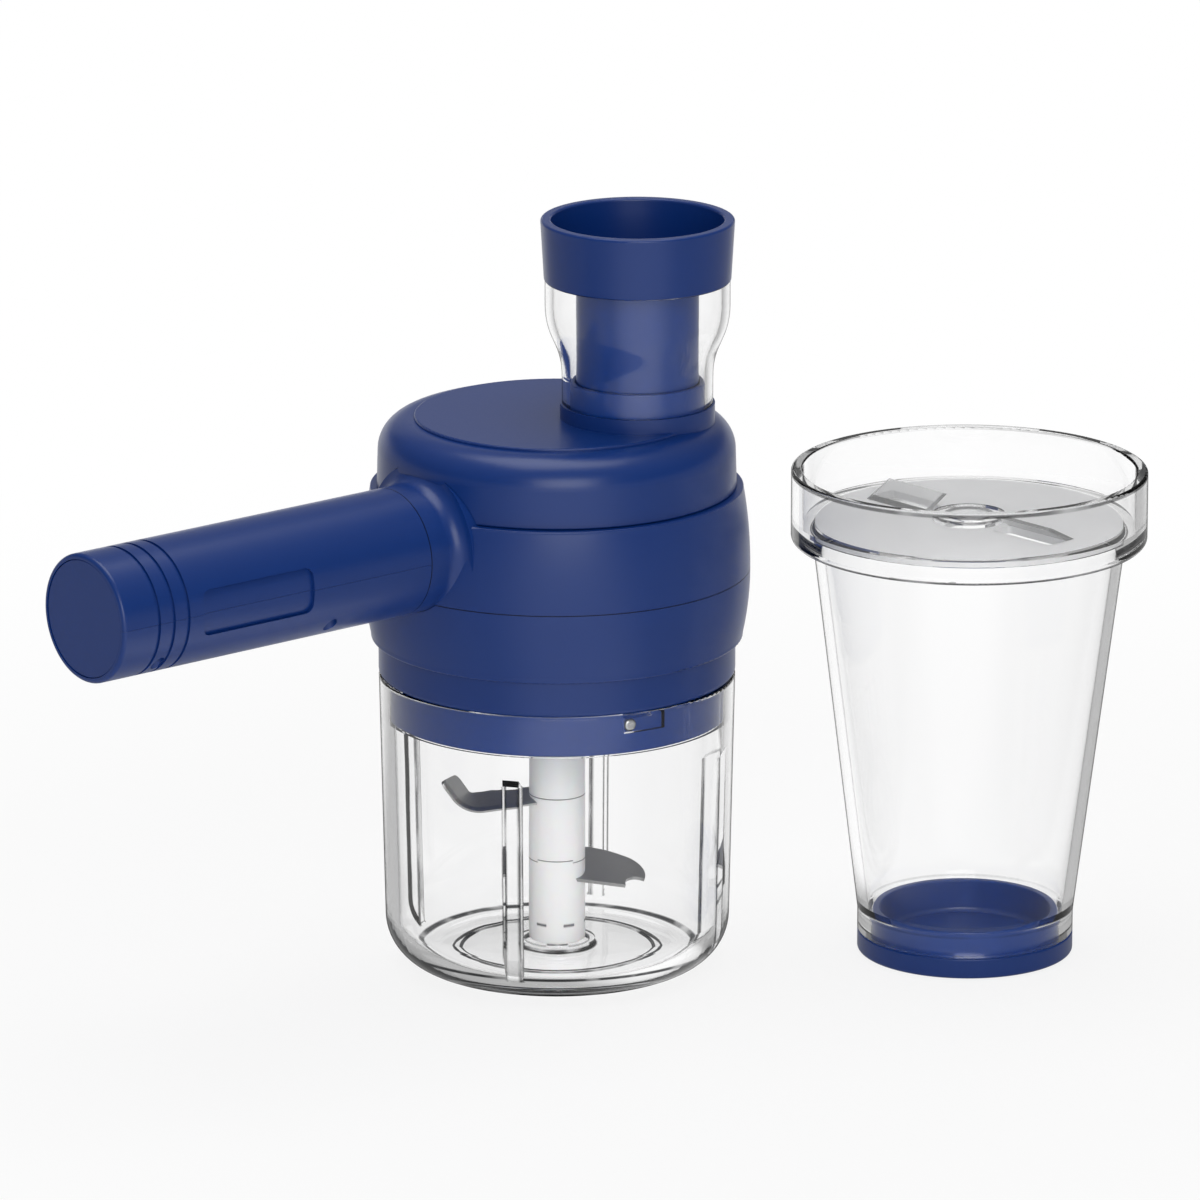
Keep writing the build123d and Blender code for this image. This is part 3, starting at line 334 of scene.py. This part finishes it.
def clearMoulding(name, look, lines=None):
    finish = Finish(name)
    # painted shade: the plastic turns into a near-black see-through layer where it is seen edge on
    facing = finish.add("ShaderNodeLayerWeight", None, {"Blend": look["blend"]}, 1)
    dark = finish.spread(facing, look["edgeStart"], 1.0) ** look["edgePower"]
    # the painted shade lines are laid over the painted edge shade
    if lines:
        dark = dark.larger(paintedShadeLines(finish, lines))
    body = finish.add("ShaderNodeBsdfPrincipled", None, {
        "Base Color": look["colour"],
        "Roughness": look["roughness"],
        "IOR": look["index"],
        "Transmission Weight": 1.0,
    })
    edge = finish.add("ShaderNodeBsdfTransparent", None, {"Color": look["edge"]})
    seen = finish.add("ShaderNodeMixShader", None, {0: dark, 1: body, 2: edge})
    lamps = finish.add("ShaderNodeLightPath", out="Is Shadow Ray")
    lit = finish.add("ShaderNodeBsdfTransparent", None, {"Color": look["shade"]})
    return finish.show(finish.add("ShaderNodeMixShader", None, {0: lamps, 1: seen, 2: lit}))


# Other moulded pieces: a fine grain and a faint cloud in the colour
mouldingLook = {
    "grainSize": 0.0006,
    "grainDepth": 0.00001,
    "cloudScale": 60.0,
    "cloudShade": 0.9,
    "roughnessSpread": 0.08,
}


def plainMoulding(name, colour, roughness, sockets=None):
    look = mouldingLook
    finish = Finish(name)
    grain = finish.noise(1 / look["grainSize"])
    cloud = finish.noise(look["cloudScale"])
    values = {
        "Base Color": finish.blendColours(cloud, darkened(colour, look["cloudShade"]), colour),
        "Roughness": roughness + look["roughnessSpread"] * (grain - noiseMiddle),
        "Normal": finish.bump(grain, look["grainDepth"]),
    }
    return finish.show(finish.add("ShaderNodeBsdfPrincipled", None, {**values, **(sockets or {})}))


# The white hub: two moulding seams, the lower one stepped, and a row of short slots near its foot, all
# darkened by painted shade
hubMarks = {
    "colour": rgb(0.92, 0.922, 0.925),
    "paintedShade": rgb(0.10, 0.10, 0.11),
    "roughness": 0.3,
    "upperSeam": 0.0488,
    "lowerSeam": 0.0300,
    "step": 0.0007,
    "stepCount": 2.0,
    "stepFrom": 0.2,
    "halfWidth": 0.00022,
    "slotHeight": 0.0118,
    "slotHalf": 0.0007,
    "slotCount": 6.0,
    "slotOpen": 0.3,
    "depth": 0.0002,
    "markRoughness": 0.2,
    "subsurface": {"Subsurface Weight": 0.2, "Subsurface Scale": 0.004},
}


def hubMoulding(name, look):
    finish = Finish(name)
    across, deep, height = finish.upright(headAxis)[1:]
    turn = deep.sums("ARCTAN2", deep, across)
    upper = finish.nearTo(height, look["upperSeam"], look["halfWidth"])
    raised = (turn * look["stepCount"]).turned("SINE").above(look["stepFrom"]) * look["step"]
    lower = finish.nearTo(height - raised, look["lowerSeam"], look["halfWidth"])
    gaps = (turn * look["slotCount"]).turned("SINE").above(look["slotOpen"])
    slots = finish.nearTo(height, look["slotHeight"], look["slotHalf"]) * gaps
    marks = upper.larger(lower).larger(slots)
    return finish.show(finish.add("ShaderNodeBsdfPrincipled", None, {
        # painted shade: seams and slots turn near-black, as only a faint bump is given for them
        "Base Color": finish.blendColours(marks, look["colour"], look["paintedShade"]),
        "Roughness": look["roughness"] + look["markRoughness"] * marks,
        "Normal": finish.bump(1.0 - marks, look["depth"]),
        **look["subsurface"],
    }))


# Ground or turned metal: fine lines that lie level
metalLook = {
    "stretch": (900.0, 900.0, 9000.0),
    "lineDetail": 3.0,
    "lineShade": 0.72,
    "lineDepth": 0.000006,
    "roughnessSpread": 0.18,
}


def groundMetal(name, colour, roughness):
    look = metalLook
    finish = Finish(name)
    lines = finish.noise(1.0, look["lineDetail"], finish.stretched(look["stretch"]))
    return finish.show(finish.add("ShaderNodeBsdfPrincipled", None, {
        "Base Color": finish.blendColours(lines, darkened(colour, look["lineShade"]), colour),
        "Metallic": 1.0,
        "Roughness": roughness + look["roughnessSpread"] * (lines - noiseMiddle),
        "Normal": finish.bump(lines, look["lineDepth"]),
    }))


navy = mouldedBlue("navyPlastic", bluePlastic)
navySeamShaded = mouldedBlue("navySeamShadedPlastic", bluePlastic, housingSeamShade)
navyInner = mouldedBlue("navyInnerPlastic", {**bluePlastic, "roughness": 0.5})
clear = clearMoulding("clearPlastic", clearPlastic)
clearBowl = clearMoulding("clearBowlPlastic", clearPlastic, bowlPaintedShadeLines)
clearCup = clearMoulding("clearCupPlastic", clearPlastic, cupPaintedShadeLines)
frostedLook = {"Transmission Weight": 0.2}
frosted = plainMoulding("frostedPlastic", rgb(0.95, 0.952, 0.96), 0.5, frostedLook)
clearBladeLook = {"Transmission Weight": 0.75}
clearBlade = plainMoulding("clearBladePlastic", rgb(0.97, 0.972, 0.975), 0.1, clearBladeLook)
white = plainMoulding("whitePlastic", hubMarks["colour"], hubMarks["roughness"], hubMarks["subsurface"])
slotFinish = {
    "blue": navy,
    "blue_inner": navyInner,
    "clear_bowl": clearBowl,
    "clear_tube": clear,
    "clear_cup": clearCup,
    "clear_blade": clearBlade,
    "frosted": frosted,
    "white": white,
    "steel": groundMetal("plainSteel", rgb(0.66, 0.67, 0.68), 0.25),
    "blade": groundMetal("bladeSteel", rgb(0.56, 0.56, 0.56), 0.42),
    "brass": groundMetal("turnedBrass", rgb(0.75, 0.56, 0.26), 0.3),
    "black": plainMoulding("blackPlastic", rgb(0.02, 0.02, 0.022), 0.45),
    "board": plainMoulding("circuitBoard", rgb(0.02, 0.14, 0.05), 0.4),
    "cell": plainMoulding("cellWrap", rgb(0.12, 0.25, 0.45), 0.3),
    "motor": groundMetal("motorCan", rgb(0.6, 0.61, 0.62), 0.35),
    "seal": plainMoulding("blackRubber", rgb(0.03, 0.03, 0.03), 0.6),
}
slotOf = {row["node"]: row["material_slot"] for row in frame["record"]["subparts"]}
for nodeName, piece in nodes.items():
    piece.data.materials.clear()
    piece.data.materials.append(slotFinish[slotOf[nodeName]])
for nodeName in ("lower_housing", "upper_housing", "handle_upper_shell", "handle_lower_shell"):
    nodes[nodeName].data.materials[0] = navySeamShaded
nodes["disc_hub"].data.materials[0] = clearMoulding("clearHub", clearPlastic, discHubPaintedShadeLines)
print("finishes:", len(slotFinish))

# Meshes made here: turned pieces, plates and sheets with two faces
meshLook = {"sharpAngle": 40.0, "cornerSteps": 4}


def showMesh(name, points, faces, finish, body):
    mesh = bpy.data.meshes.new(name)
    mesh.from_pydata(points, [], faces)
    shell = bmesh.new()
    shell.from_mesh(mesh)
    bmesh.ops.recalc_face_normals(shell, faces=shell.faces)
    shell.to_mesh(mesh)
    shell.free()
    mesh.materials.append(finish)
    mesh.shade_smooth()
    mesh.set_sharp_from_angle(angle=math.radians(meshLook["sharpAngle"]))
    piece = bpy.data.objects.new(name, mesh)
    bpy.context.scene.collection.objects.link(piece)
    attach(piece, body)
    return piece


def turnedShell(profile, centre, turns, closed):
    points = []
    for i in range(turns):
        turn = 2 * math.pi * i / turns
        for reach, height in profile:
            x = centre[0] + reach * math.cos(turn)
            y = centre[1] + reach * math.sin(turn)
            points.append((x, y, height))
    count = len(profile)
    faces = []
    for i in range(turns):
        here = i * count
        there = (i + 1) % turns * count
        for j in range(count if closed else count - 1):
            after = (j + 1) % count
            faces.append((here + j, there + j, there + after, here + after))
    if not closed:
        faces.append([i * count for i in range(turns)])
        faces.append([i * count + count - 1 for i in range(turns)])
    return points, faces


def roundCorner(corner, before, after, size):
    # points of a rounded corner, between a way in and a way out of one length
    steps = meshLook["cornerSteps"]
    points = []
    for i in range(steps + 1):
        angle = math.pi / 2 * i / steps
        back, on = 1 - math.sin(angle), 1 - math.cos(angle)
        points.append((
            corner[0] + size * (before[0] * back + after[0] * on),
            corner[1] + size * (before[1] * back + after[1] * on),
        ))
    return points


def gridShell(rows, columns, place):
    # two facing sheets of points and the wall round their rim
    points = []
    for side in (1, -1):
        for row in range(rows + 1):
            points += [place(row, column, side) for column in range(columns + 1)]
    wide = columns + 1
    under = wide * (rows + 1)
    faces = []
    for row in range(rows):
        for column in range(columns):
            corner = row * wide + column
            sheet = (corner, corner + 1, corner + wide + 1, corner + wide)
            faces.append(sheet)
            faces.append([under + i for i in reversed(sheet)])
    rim = list(range(wide))
    rim += [row * wide + columns for row in range(1, rows + 1)]
    rim += [rows * wide + column for column in range(columns - 1, -1, -1)]
    rim += [row * wide for row in range(rows - 1, 0, -1)]
    for first, second in zip(rim, rim[1:] + rim[:1]):
        faces.append((first, second, under + second, under + first))
    return points, faces


# Blue sleeve that stands in the mouth of the drop chute and guides the pusher
tubeGuide = {
    "centre": (0.015122, -0.016795),
    "outer": 0.01865,
    "inner": 0.01730,
    "low": 0.15465,
    "high": 0.16890,
    "round": 0.0004,
    "turns": 160,
}


def guideSleeve(look):
    size = look["round"]
    outerEdge = roundCorner((look["outer"], look["high"]), (0, -1), (-1, 0), size)
    innerEdge = roundCorner((look["inner"], look["high"]), (1, 0), (0, -1), size)
    profile = [(look["outer"], look["low"])] + outerEdge + innerEdge + [(look["inner"], look["low"])]
    points, faces = turnedShell(profile, look["centre"], look["turns"], True)
    showMesh("tubeGuide", points, faces, navy, "head")


guideSleeve(tubeGuide)
print("tube guide added")

# Trigger, flush in the grip's underside
triggerShape = {
    "middle": -0.0725,
    "half": 0.0075,
    "side": 0.0050,
    "corner": 0.0020,
    "grip": 0.01770,
    "axisHeight": 0.1287,
    "rows": 30,
    "columns": 16,
}


def flushTrigger(look):
    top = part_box("trigger_button")[1][2]

    def place(row, column, side):
        along = look["half"] * (2 * row / look["rows"] - 1)
        over = max(abs(along) - look["half"] + look["corner"], 0.0)
        half = look["side"] - look["corner"] + math.sqrt(max(look["corner"] ** 2 - over ** 2, 0.0))
        aside = half * (2 * column / look["columns"] - 1)
        low = look["axisHeight"] - math.sqrt(look["grip"] ** 2 - aside ** 2)
        return look["middle"] + along, aside, top if side > 0 else low

    points, faces = gridShell(look["rows"], look["columns"], place)
    button = showMesh("triggerButton", points, faces, navy, "trigger")
    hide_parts("trigger_button")


flushTrigger(triggerShape)
print("trigger added")

# Blade set: white hub, upper blade with a rolled-up tip and notched lower blade
hubShape = {
    "radius": 0.00785,
    "low": 0.0064,
    "high": 0.0660,
    "round": 0.0006,
    "pinBore": 0.0031,
    "pinTop": 0.0139,
    "driveBore": 0.0054,
    "driveFoot": 0.0497,
    "turns": 120,
}
upperBlade = {
    "turn": 148.0,
    "height": 0.0486,
    "tilt": 10.0,
    "droop": 5.0,
    "root": 0.0040,
    "rootHalf": 0.00475,
    "half": 0.0056,
    "hub": 0.00785,
    "thickness": 0.0010,
    "bevel": 0.0016,
    "edge": 0.15,
    "curl": 62.0,
    "nearRoll": {"crease": 0.0212, "radius": 0.0095, "length": 0.0066},
    "farRoll": {"crease": 0.0230, "radius": 0.0020, "length": 0.0064},
    "round": 0.0022,
    "flatRows": 14,
    "tipRows": 24,
    "columns": 28,
}
lowerBlade = {
    "turn": -26.0,
    "height": 0.0276,
    "tilt": -18.0,
    "droop": 8.6,
    "root": 0.0040,
    "reach": 0.0254,
    "half": 0.0085,
    "thickness": 0.0010,
    "rootShare": 0.6,
    "edgeStart": (0.0, -0.8),
    "notchStart": (0.72, -1.0),
    "notchMiddle": (0.83, -0.5),
    "notchEnd": (0.97, -0.55),
    "tipMiddle": (0.99, 0.1),
    "backStart": (0.8, 0.75),
    "backMiddle": (0.4, 1.1),
    "steps": 16,
}


def bladeFrame(look):
    turn = math.radians(look["turn"])
    tilt = math.radians(look["tilt"])
    droop = math.radians(look["droop"])
    out = Vector((math.cos(turn), math.sin(turn), 0.0))
    up = Vector((0.0, 0.0, 1.0))
    aside = Vector((-math.sin(turn), math.cos(turn), 0.0))
    along = out * math.cos(droop) - up * math.sin(droop)
    level = out * math.sin(droop) + up * math.cos(droop)
    normal = level * math.cos(tilt) + aside * math.sin(tilt)
    across = normal.cross(along)
    return lambda x, y, z: up * look["height"] + along * x + across * y + normal * z


def rolledPoint(roll, curl, share, lift, cutBack):
    # one edge of the tip: round the roll for the first half, then straight on
    angle = curl * min(2 * share, 1.0)
    run = (roll["length"] - cutBack) * max(2 * share - 1, 0.0)
    along = roll["crease"] + (roll["radius"] - lift) * math.sin(angle) + run * math.cos(angle)
    rise = roll["radius"] - (roll["radius"] - lift) * math.cos(angle) + run * math.sin(angle)
    return along, rise


def upperBladePoint(look, row, column, side):
    share = 2 * column / look["columns"] - 1
    near = (1 + share) / 2
    toEdge = (1 - share) * look["half"] / look["bevel"]
    lift = side * look["thickness"] / 2
    if side > 0:
        lift *= look["edge"] + (1 - look["edge"]) * min(toEdge, 1.0)
    if row <= look["flatRows"]:
        crease = look["nearRoll"]["crease"] * near + look["farRoll"]["crease"] * (1 - near)
        along = -look["root"] + (crease + look["root"]) * row / look["flatRows"]
        grown = max(along - look["hub"], 0.0) / (crease - look["hub"])
        return along, share * (look["rootHalf"] + (look["half"] - look["rootHalf"]) * grown), lift
    over = max(abs(share) * look["half"] - look["half"] + look["round"], 0.0) / look["round"]
    cutBack = look["round"] * (1 - math.sqrt(max(1 - over * over, 0.0)))
    tipShare = (row - look["flatRows"]) / look["tipRows"]
    curl = math.radians(look["curl"])
    first = rolledPoint(look["nearRoll"], curl, tipShare, lift, cutBack)
    second = rolledPoint(look["farRoll"], curl, tipShare, lift, cutBack)
    along = first[0] * near + second[0] * (1 - near)
    rise = first[1] * near + second[1] * (1 - near)
    return along, share * look["half"], rise


def arcThrough(start, middle, end, steps):
    (ax, ay), (bx, by), (cx, cy) = start, middle, end
    scale = 2 * (ax * (by - cy) + bx * (cy - ay) + cx * (ay - by))
    a, b, c = ax * ax + ay * ay, bx * bx + by * by, cx * cx + cy * cy
    x = (a * (by - cy) + b * (cy - ay) + c * (ay - by)) / scale
    y = (a * (cx - bx) + b * (ax - cx) + c * (bx - ax)) / scale
    first = math.atan2(ay - y, ax - x)
    sweep = (math.atan2(cy - y, cx - x) - first) % (2 * math.pi)
    if (math.atan2(by - y, bx - x) - first) % (2 * math.pi) > sweep:
        sweep -= 2 * math.pi
    reach = math.hypot(ax - x, ay - y)
    angles = [first + sweep * i / steps for i in range(1, steps + 1)]
    return [(x + reach * math.cos(angle), y + reach * math.sin(angle)) for angle in angles]


def lowerOutline(look):
    # its named corners are shares of the reach and of the half width
    def spot(corner):
        along, aside = look[corner]
        return along * look["reach"], aside * look["half"]

    rootHalf = look["rootShare"] * look["half"]
    backEnd = (-look["root"], rootHalf)
    steps = look["steps"]
    outline = [(-look["root"], -rootHalf), spot("edgeStart"), spot("notchStart")]
    outline += arcThrough(spot("notchStart"), spot("notchMiddle"), spot("notchEnd"), steps)
    outline += arcThrough(spot("notchEnd"), spot("tipMiddle"), spot("backStart"), steps)
    outline += arcThrough(spot("backStart"), spot("backMiddle"), backEnd, steps)
    return outline


def plateShell(outline, thickness):
    points = [(x, y, side * thickness / 2) for side in (1, -1) for x, y in outline]
    count = len(outline)
    faces = [list(range(count)), list(range(2 * count - 1, count - 1, -1))]
    for i in range(count):
        after = (i + 1) % count
        faces.append((i, after, count + after, count + i))
    return points, faces


def hubColumn(look):
    foot = (look["radius"], look["low"])
    head = (look["radius"], look["high"])
    profile = [(look["pinBore"], look["pinTop"]), (look["pinBore"], look["low"])]
    profile += roundCorner(foot, (-1, 0), (0, 1), look["round"])
    profile += roundCorner(head, (0, -1), (-1, 0), look["round"])
    profile += [(look["driveBore"], look["high"]), (look["driveBore"], look["driveFoot"])]
    points, faces = turnedShell(profile, headAxis, look["turns"], False)
    hub = showMesh("bladeHub", points, faces, hubMoulding("hubPlastic", hubMarks), "spindle")
    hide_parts("blade_hub")


hubColumn(hubShape)

upperFrame = bladeFrame(upperBlade)
upperPoints, upperFaces = gridShell(
    upperBlade["flatRows"] + upperBlade["tipRows"],
    upperBlade["columns"],
    lambda row, column, side: upperFrame(*upperBladePoint(upperBlade, row, column, side)),
)
upperPiece = showMesh("upperBlade", upperPoints, upperFaces, slotFinish["blade"], "spindle")
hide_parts("upper_blade")

lowerFrame = bladeFrame(lowerBlade)
lowerPoints, lowerFaces = plateShell(lowerOutline(lowerBlade), lowerBlade["thickness"])
lowerPoints = [lowerFrame(*point) for point in lowerPoints]
lowerPiece = showMesh("lowerBlade", lowerPoints, lowerFaces, slotFinish["blade"], "spindle")
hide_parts("lower_blade")
print("blade set added")

# Floor: pale, keeps the shadow near the set, fades to white further out and turns up at its far edge.
# Mirror reflections see a painted reflection on it, bright in front of and behind the set and dimmer to
# the sides; through clear parts and in deeper reflections it is painted grey far out
floorLook = {
    "radius": 60.0,
    "wallHeight": 8.0,
    "sides": 96,
    "drop": 0.0003,
    "colour": rgb(0.93, 0.93, 0.933),
    "fadeFrom": 0.12,
    "fadeTo": 0.55,
    "leastFade": 0.85,
    "middle": (0.03, -0.02, 0.0),
    "facing": (-0.588, -0.809, 0.0),
    "stripFrom": 0.72,
    "stripTo": 0.97,
    "sideGloss": 0.45,
    "clearFrom": 1.2,
    "clearTo": 2.6,
    "farClear": 0.35,
}


def paleFloor(look):
    turns = [2 * math.pi * i / look["sides"] for i in range(look["sides"])]
    rim = [(look["radius"] * math.cos(turn), look["radius"] * math.sin(turn)) for turn in turns]
    points = [(x, y, -look["drop"]) for x, y in rim] + [(x, y, look["wallHeight"]) for x, y in rim]
    count = look["sides"]
    faces = [list(range(count))]
    faces += [(i, (i + 1) % count, count + (i + 1) % count, count + i) for i in range(count)]
    mesh = bpy.data.meshes.new("floor")
    mesh.from_pydata(points, [], faces)
    floor = bpy.data.objects.new("floor", mesh)
    bpy.context.scene.collection.objects.link(floor)
    finish = Finish("paleFloor")
    position = finish.add("ShaderNodeNewGeometry")
    fromMiddle = {0: position, 1: look["middle"]}
    offset = finish.add("ShaderNodeVectorMath", {"operation": "SUBTRACT"}, fromMiddle)
    away = finish.add("ShaderNodeVectorMath", {"operation": "LENGTH"}, {0: offset}, 1)
    towards = {0: offset, 1: look["facing"]}
    heading = finish.add("ShaderNodeVectorMath", {"operation": "DOT_PRODUCT"}, towards, 1)
    camera = finish.add("ShaderNodeLightPath")
    glossy = finish.add("ShaderNodeLightPath", out="Is Glossy Ray")
    through = finish.add("ShaderNodeLightPath", out="Is Transmission Ray")
    mirrors = finish.add("ShaderNodeLightPath", out="Glossy Depth").equals(1.0)
    scattered = finish.add("ShaderNodeLightPath", out="Is Diffuse Ray")
    fade = finish.spread(away, look["fadeFrom"], look["fadeTo"], look["leastFade"])
    # painted shade: far out, the floor turns grey for rays that come through clear parts or after more
    # than one reflection
    paintedFarShade = finish.spread(away, look["clearFrom"], look["clearTo"], 1.0, look["farClear"])
    # painted reflection: a strip bright along the facing line, dimmer to the sides, seen only by the
    # first mirror bounce
    strip = finish.spread(abs(heading / away), look["stripFrom"], look["stripTo"], look["sideGloss"])
    matt = finish.add("ShaderNodeBsdfDiffuse", None, {"Color": look["colour"]})
    shown = finish.grey(camera.larger(paintedFarShade))
    glow = finish.add("ShaderNodeEmission", None, {"Color": shown, "Strength": 1.0})
    paintedReflection = finish.add("ShaderNodeEmission", None, {"Color": finish.grey(strip), "Strength": 1.0})
    looked = camera.larger(through).larger(glossy)
    plain = finish.add("ShaderNodeMixShader", None, {0: fade * looked, 1: matt, 2: glow})
    reflected = mirrors * (1.0 - scattered)
    mesh.materials.append(
        finish.show(finish.add("ShaderNodeMixShader", None, {0: reflected, 1: plain, 2: paintedReflection}))
    )


paleFloor(floorLook)

# World: soft grey, darker towards the horizon, and white where it is seen past the floor
worldLook = {"horizon": 0.02, "zenith": 0.40}


def softWorld(look):
    finish = Finish("studio", world=True)
    heading = finish.add("ShaderNodeSeparateXYZ", None, {0: finish.place()}, 2)
    level = finish.add(
        "ShaderNodeMapRange",
        {"clamp": True},
        {"Value": heading, "To Min": look["horizon"], "To Max": look["zenith"]},
    )
    camera = finish.add("ShaderNodeLightPath")
    shade = finish.grey(level.larger(camera))
    finish.show(finish.add("ShaderNodeBackground", None, {"Color": shade, "Strength": 1.0}))
    bpy.context.scene.world = finish.block


softWorld(worldLook)
print("floor and world set")

# Lamps: a large soft box in front, one overhead and a weak one behind
lamps = {
    "keyBox": {"at": (-1.68, -2.49, 1.2), "size": (1.9, 1.6), "power": 32.0},
    "topBox": {"at": (0.05, 0.10, 1.6), "size": (1.2, 1.2), "power": 11.0},
    "backBox": {"at": (1.0, 1.2, 0.75), "size": (1.6, 0.5), "power": 0.6},
}
lampAim = Vector((0.0, 0.0, 0.1))
for lampName, look in lamps.items():
    light = bpy.data.lights.new(lampName, "AREA")
    light.shape = "RECTANGLE"
    light.size, light.size_y = look["size"]
    light.energy = look["power"]
    holder = bpy.data.objects.new(lampName, light)
    holder.location = look["at"]
    holder.rotation_euler = (lampAim - holder.location).to_track_quat("-Z", "Y").to_euler()
    bpy.context.scene.collection.objects.link(holder)

# Camera: long lens, 15.5 degrees down, from the handle's near side
cameraLook = {
    "at": (-1.6635, -1.9850, 0.8226),
    "tilt": 74.5,
    "turn": -40.23,
    "lens": 289.07,
    "sensor": 36.0,
    "clipEnd": 200.0,
}
lensBlock = bpy.data.cameras.new("photoCamera")
lensBlock.lens = cameraLook["lens"]
lensBlock.sensor_width = cameraLook["sensor"]
lensBlock.clip_end = cameraLook["clipEnd"]
photoCamera = bpy.data.objects.new("photoCamera", lensBlock)
photoCamera.location = cameraLook["at"]
photoCamera.rotation_euler = (math.radians(cameraLook["tilt"]), 0.0, math.radians(cameraLook["turn"]))
bpy.context.scene.collection.objects.link(photoCamera)
bpy.context.scene.camera = photoCamera
bpy.context.scene.view_settings.view_transform = "Standard"
print("camera and lamps set")
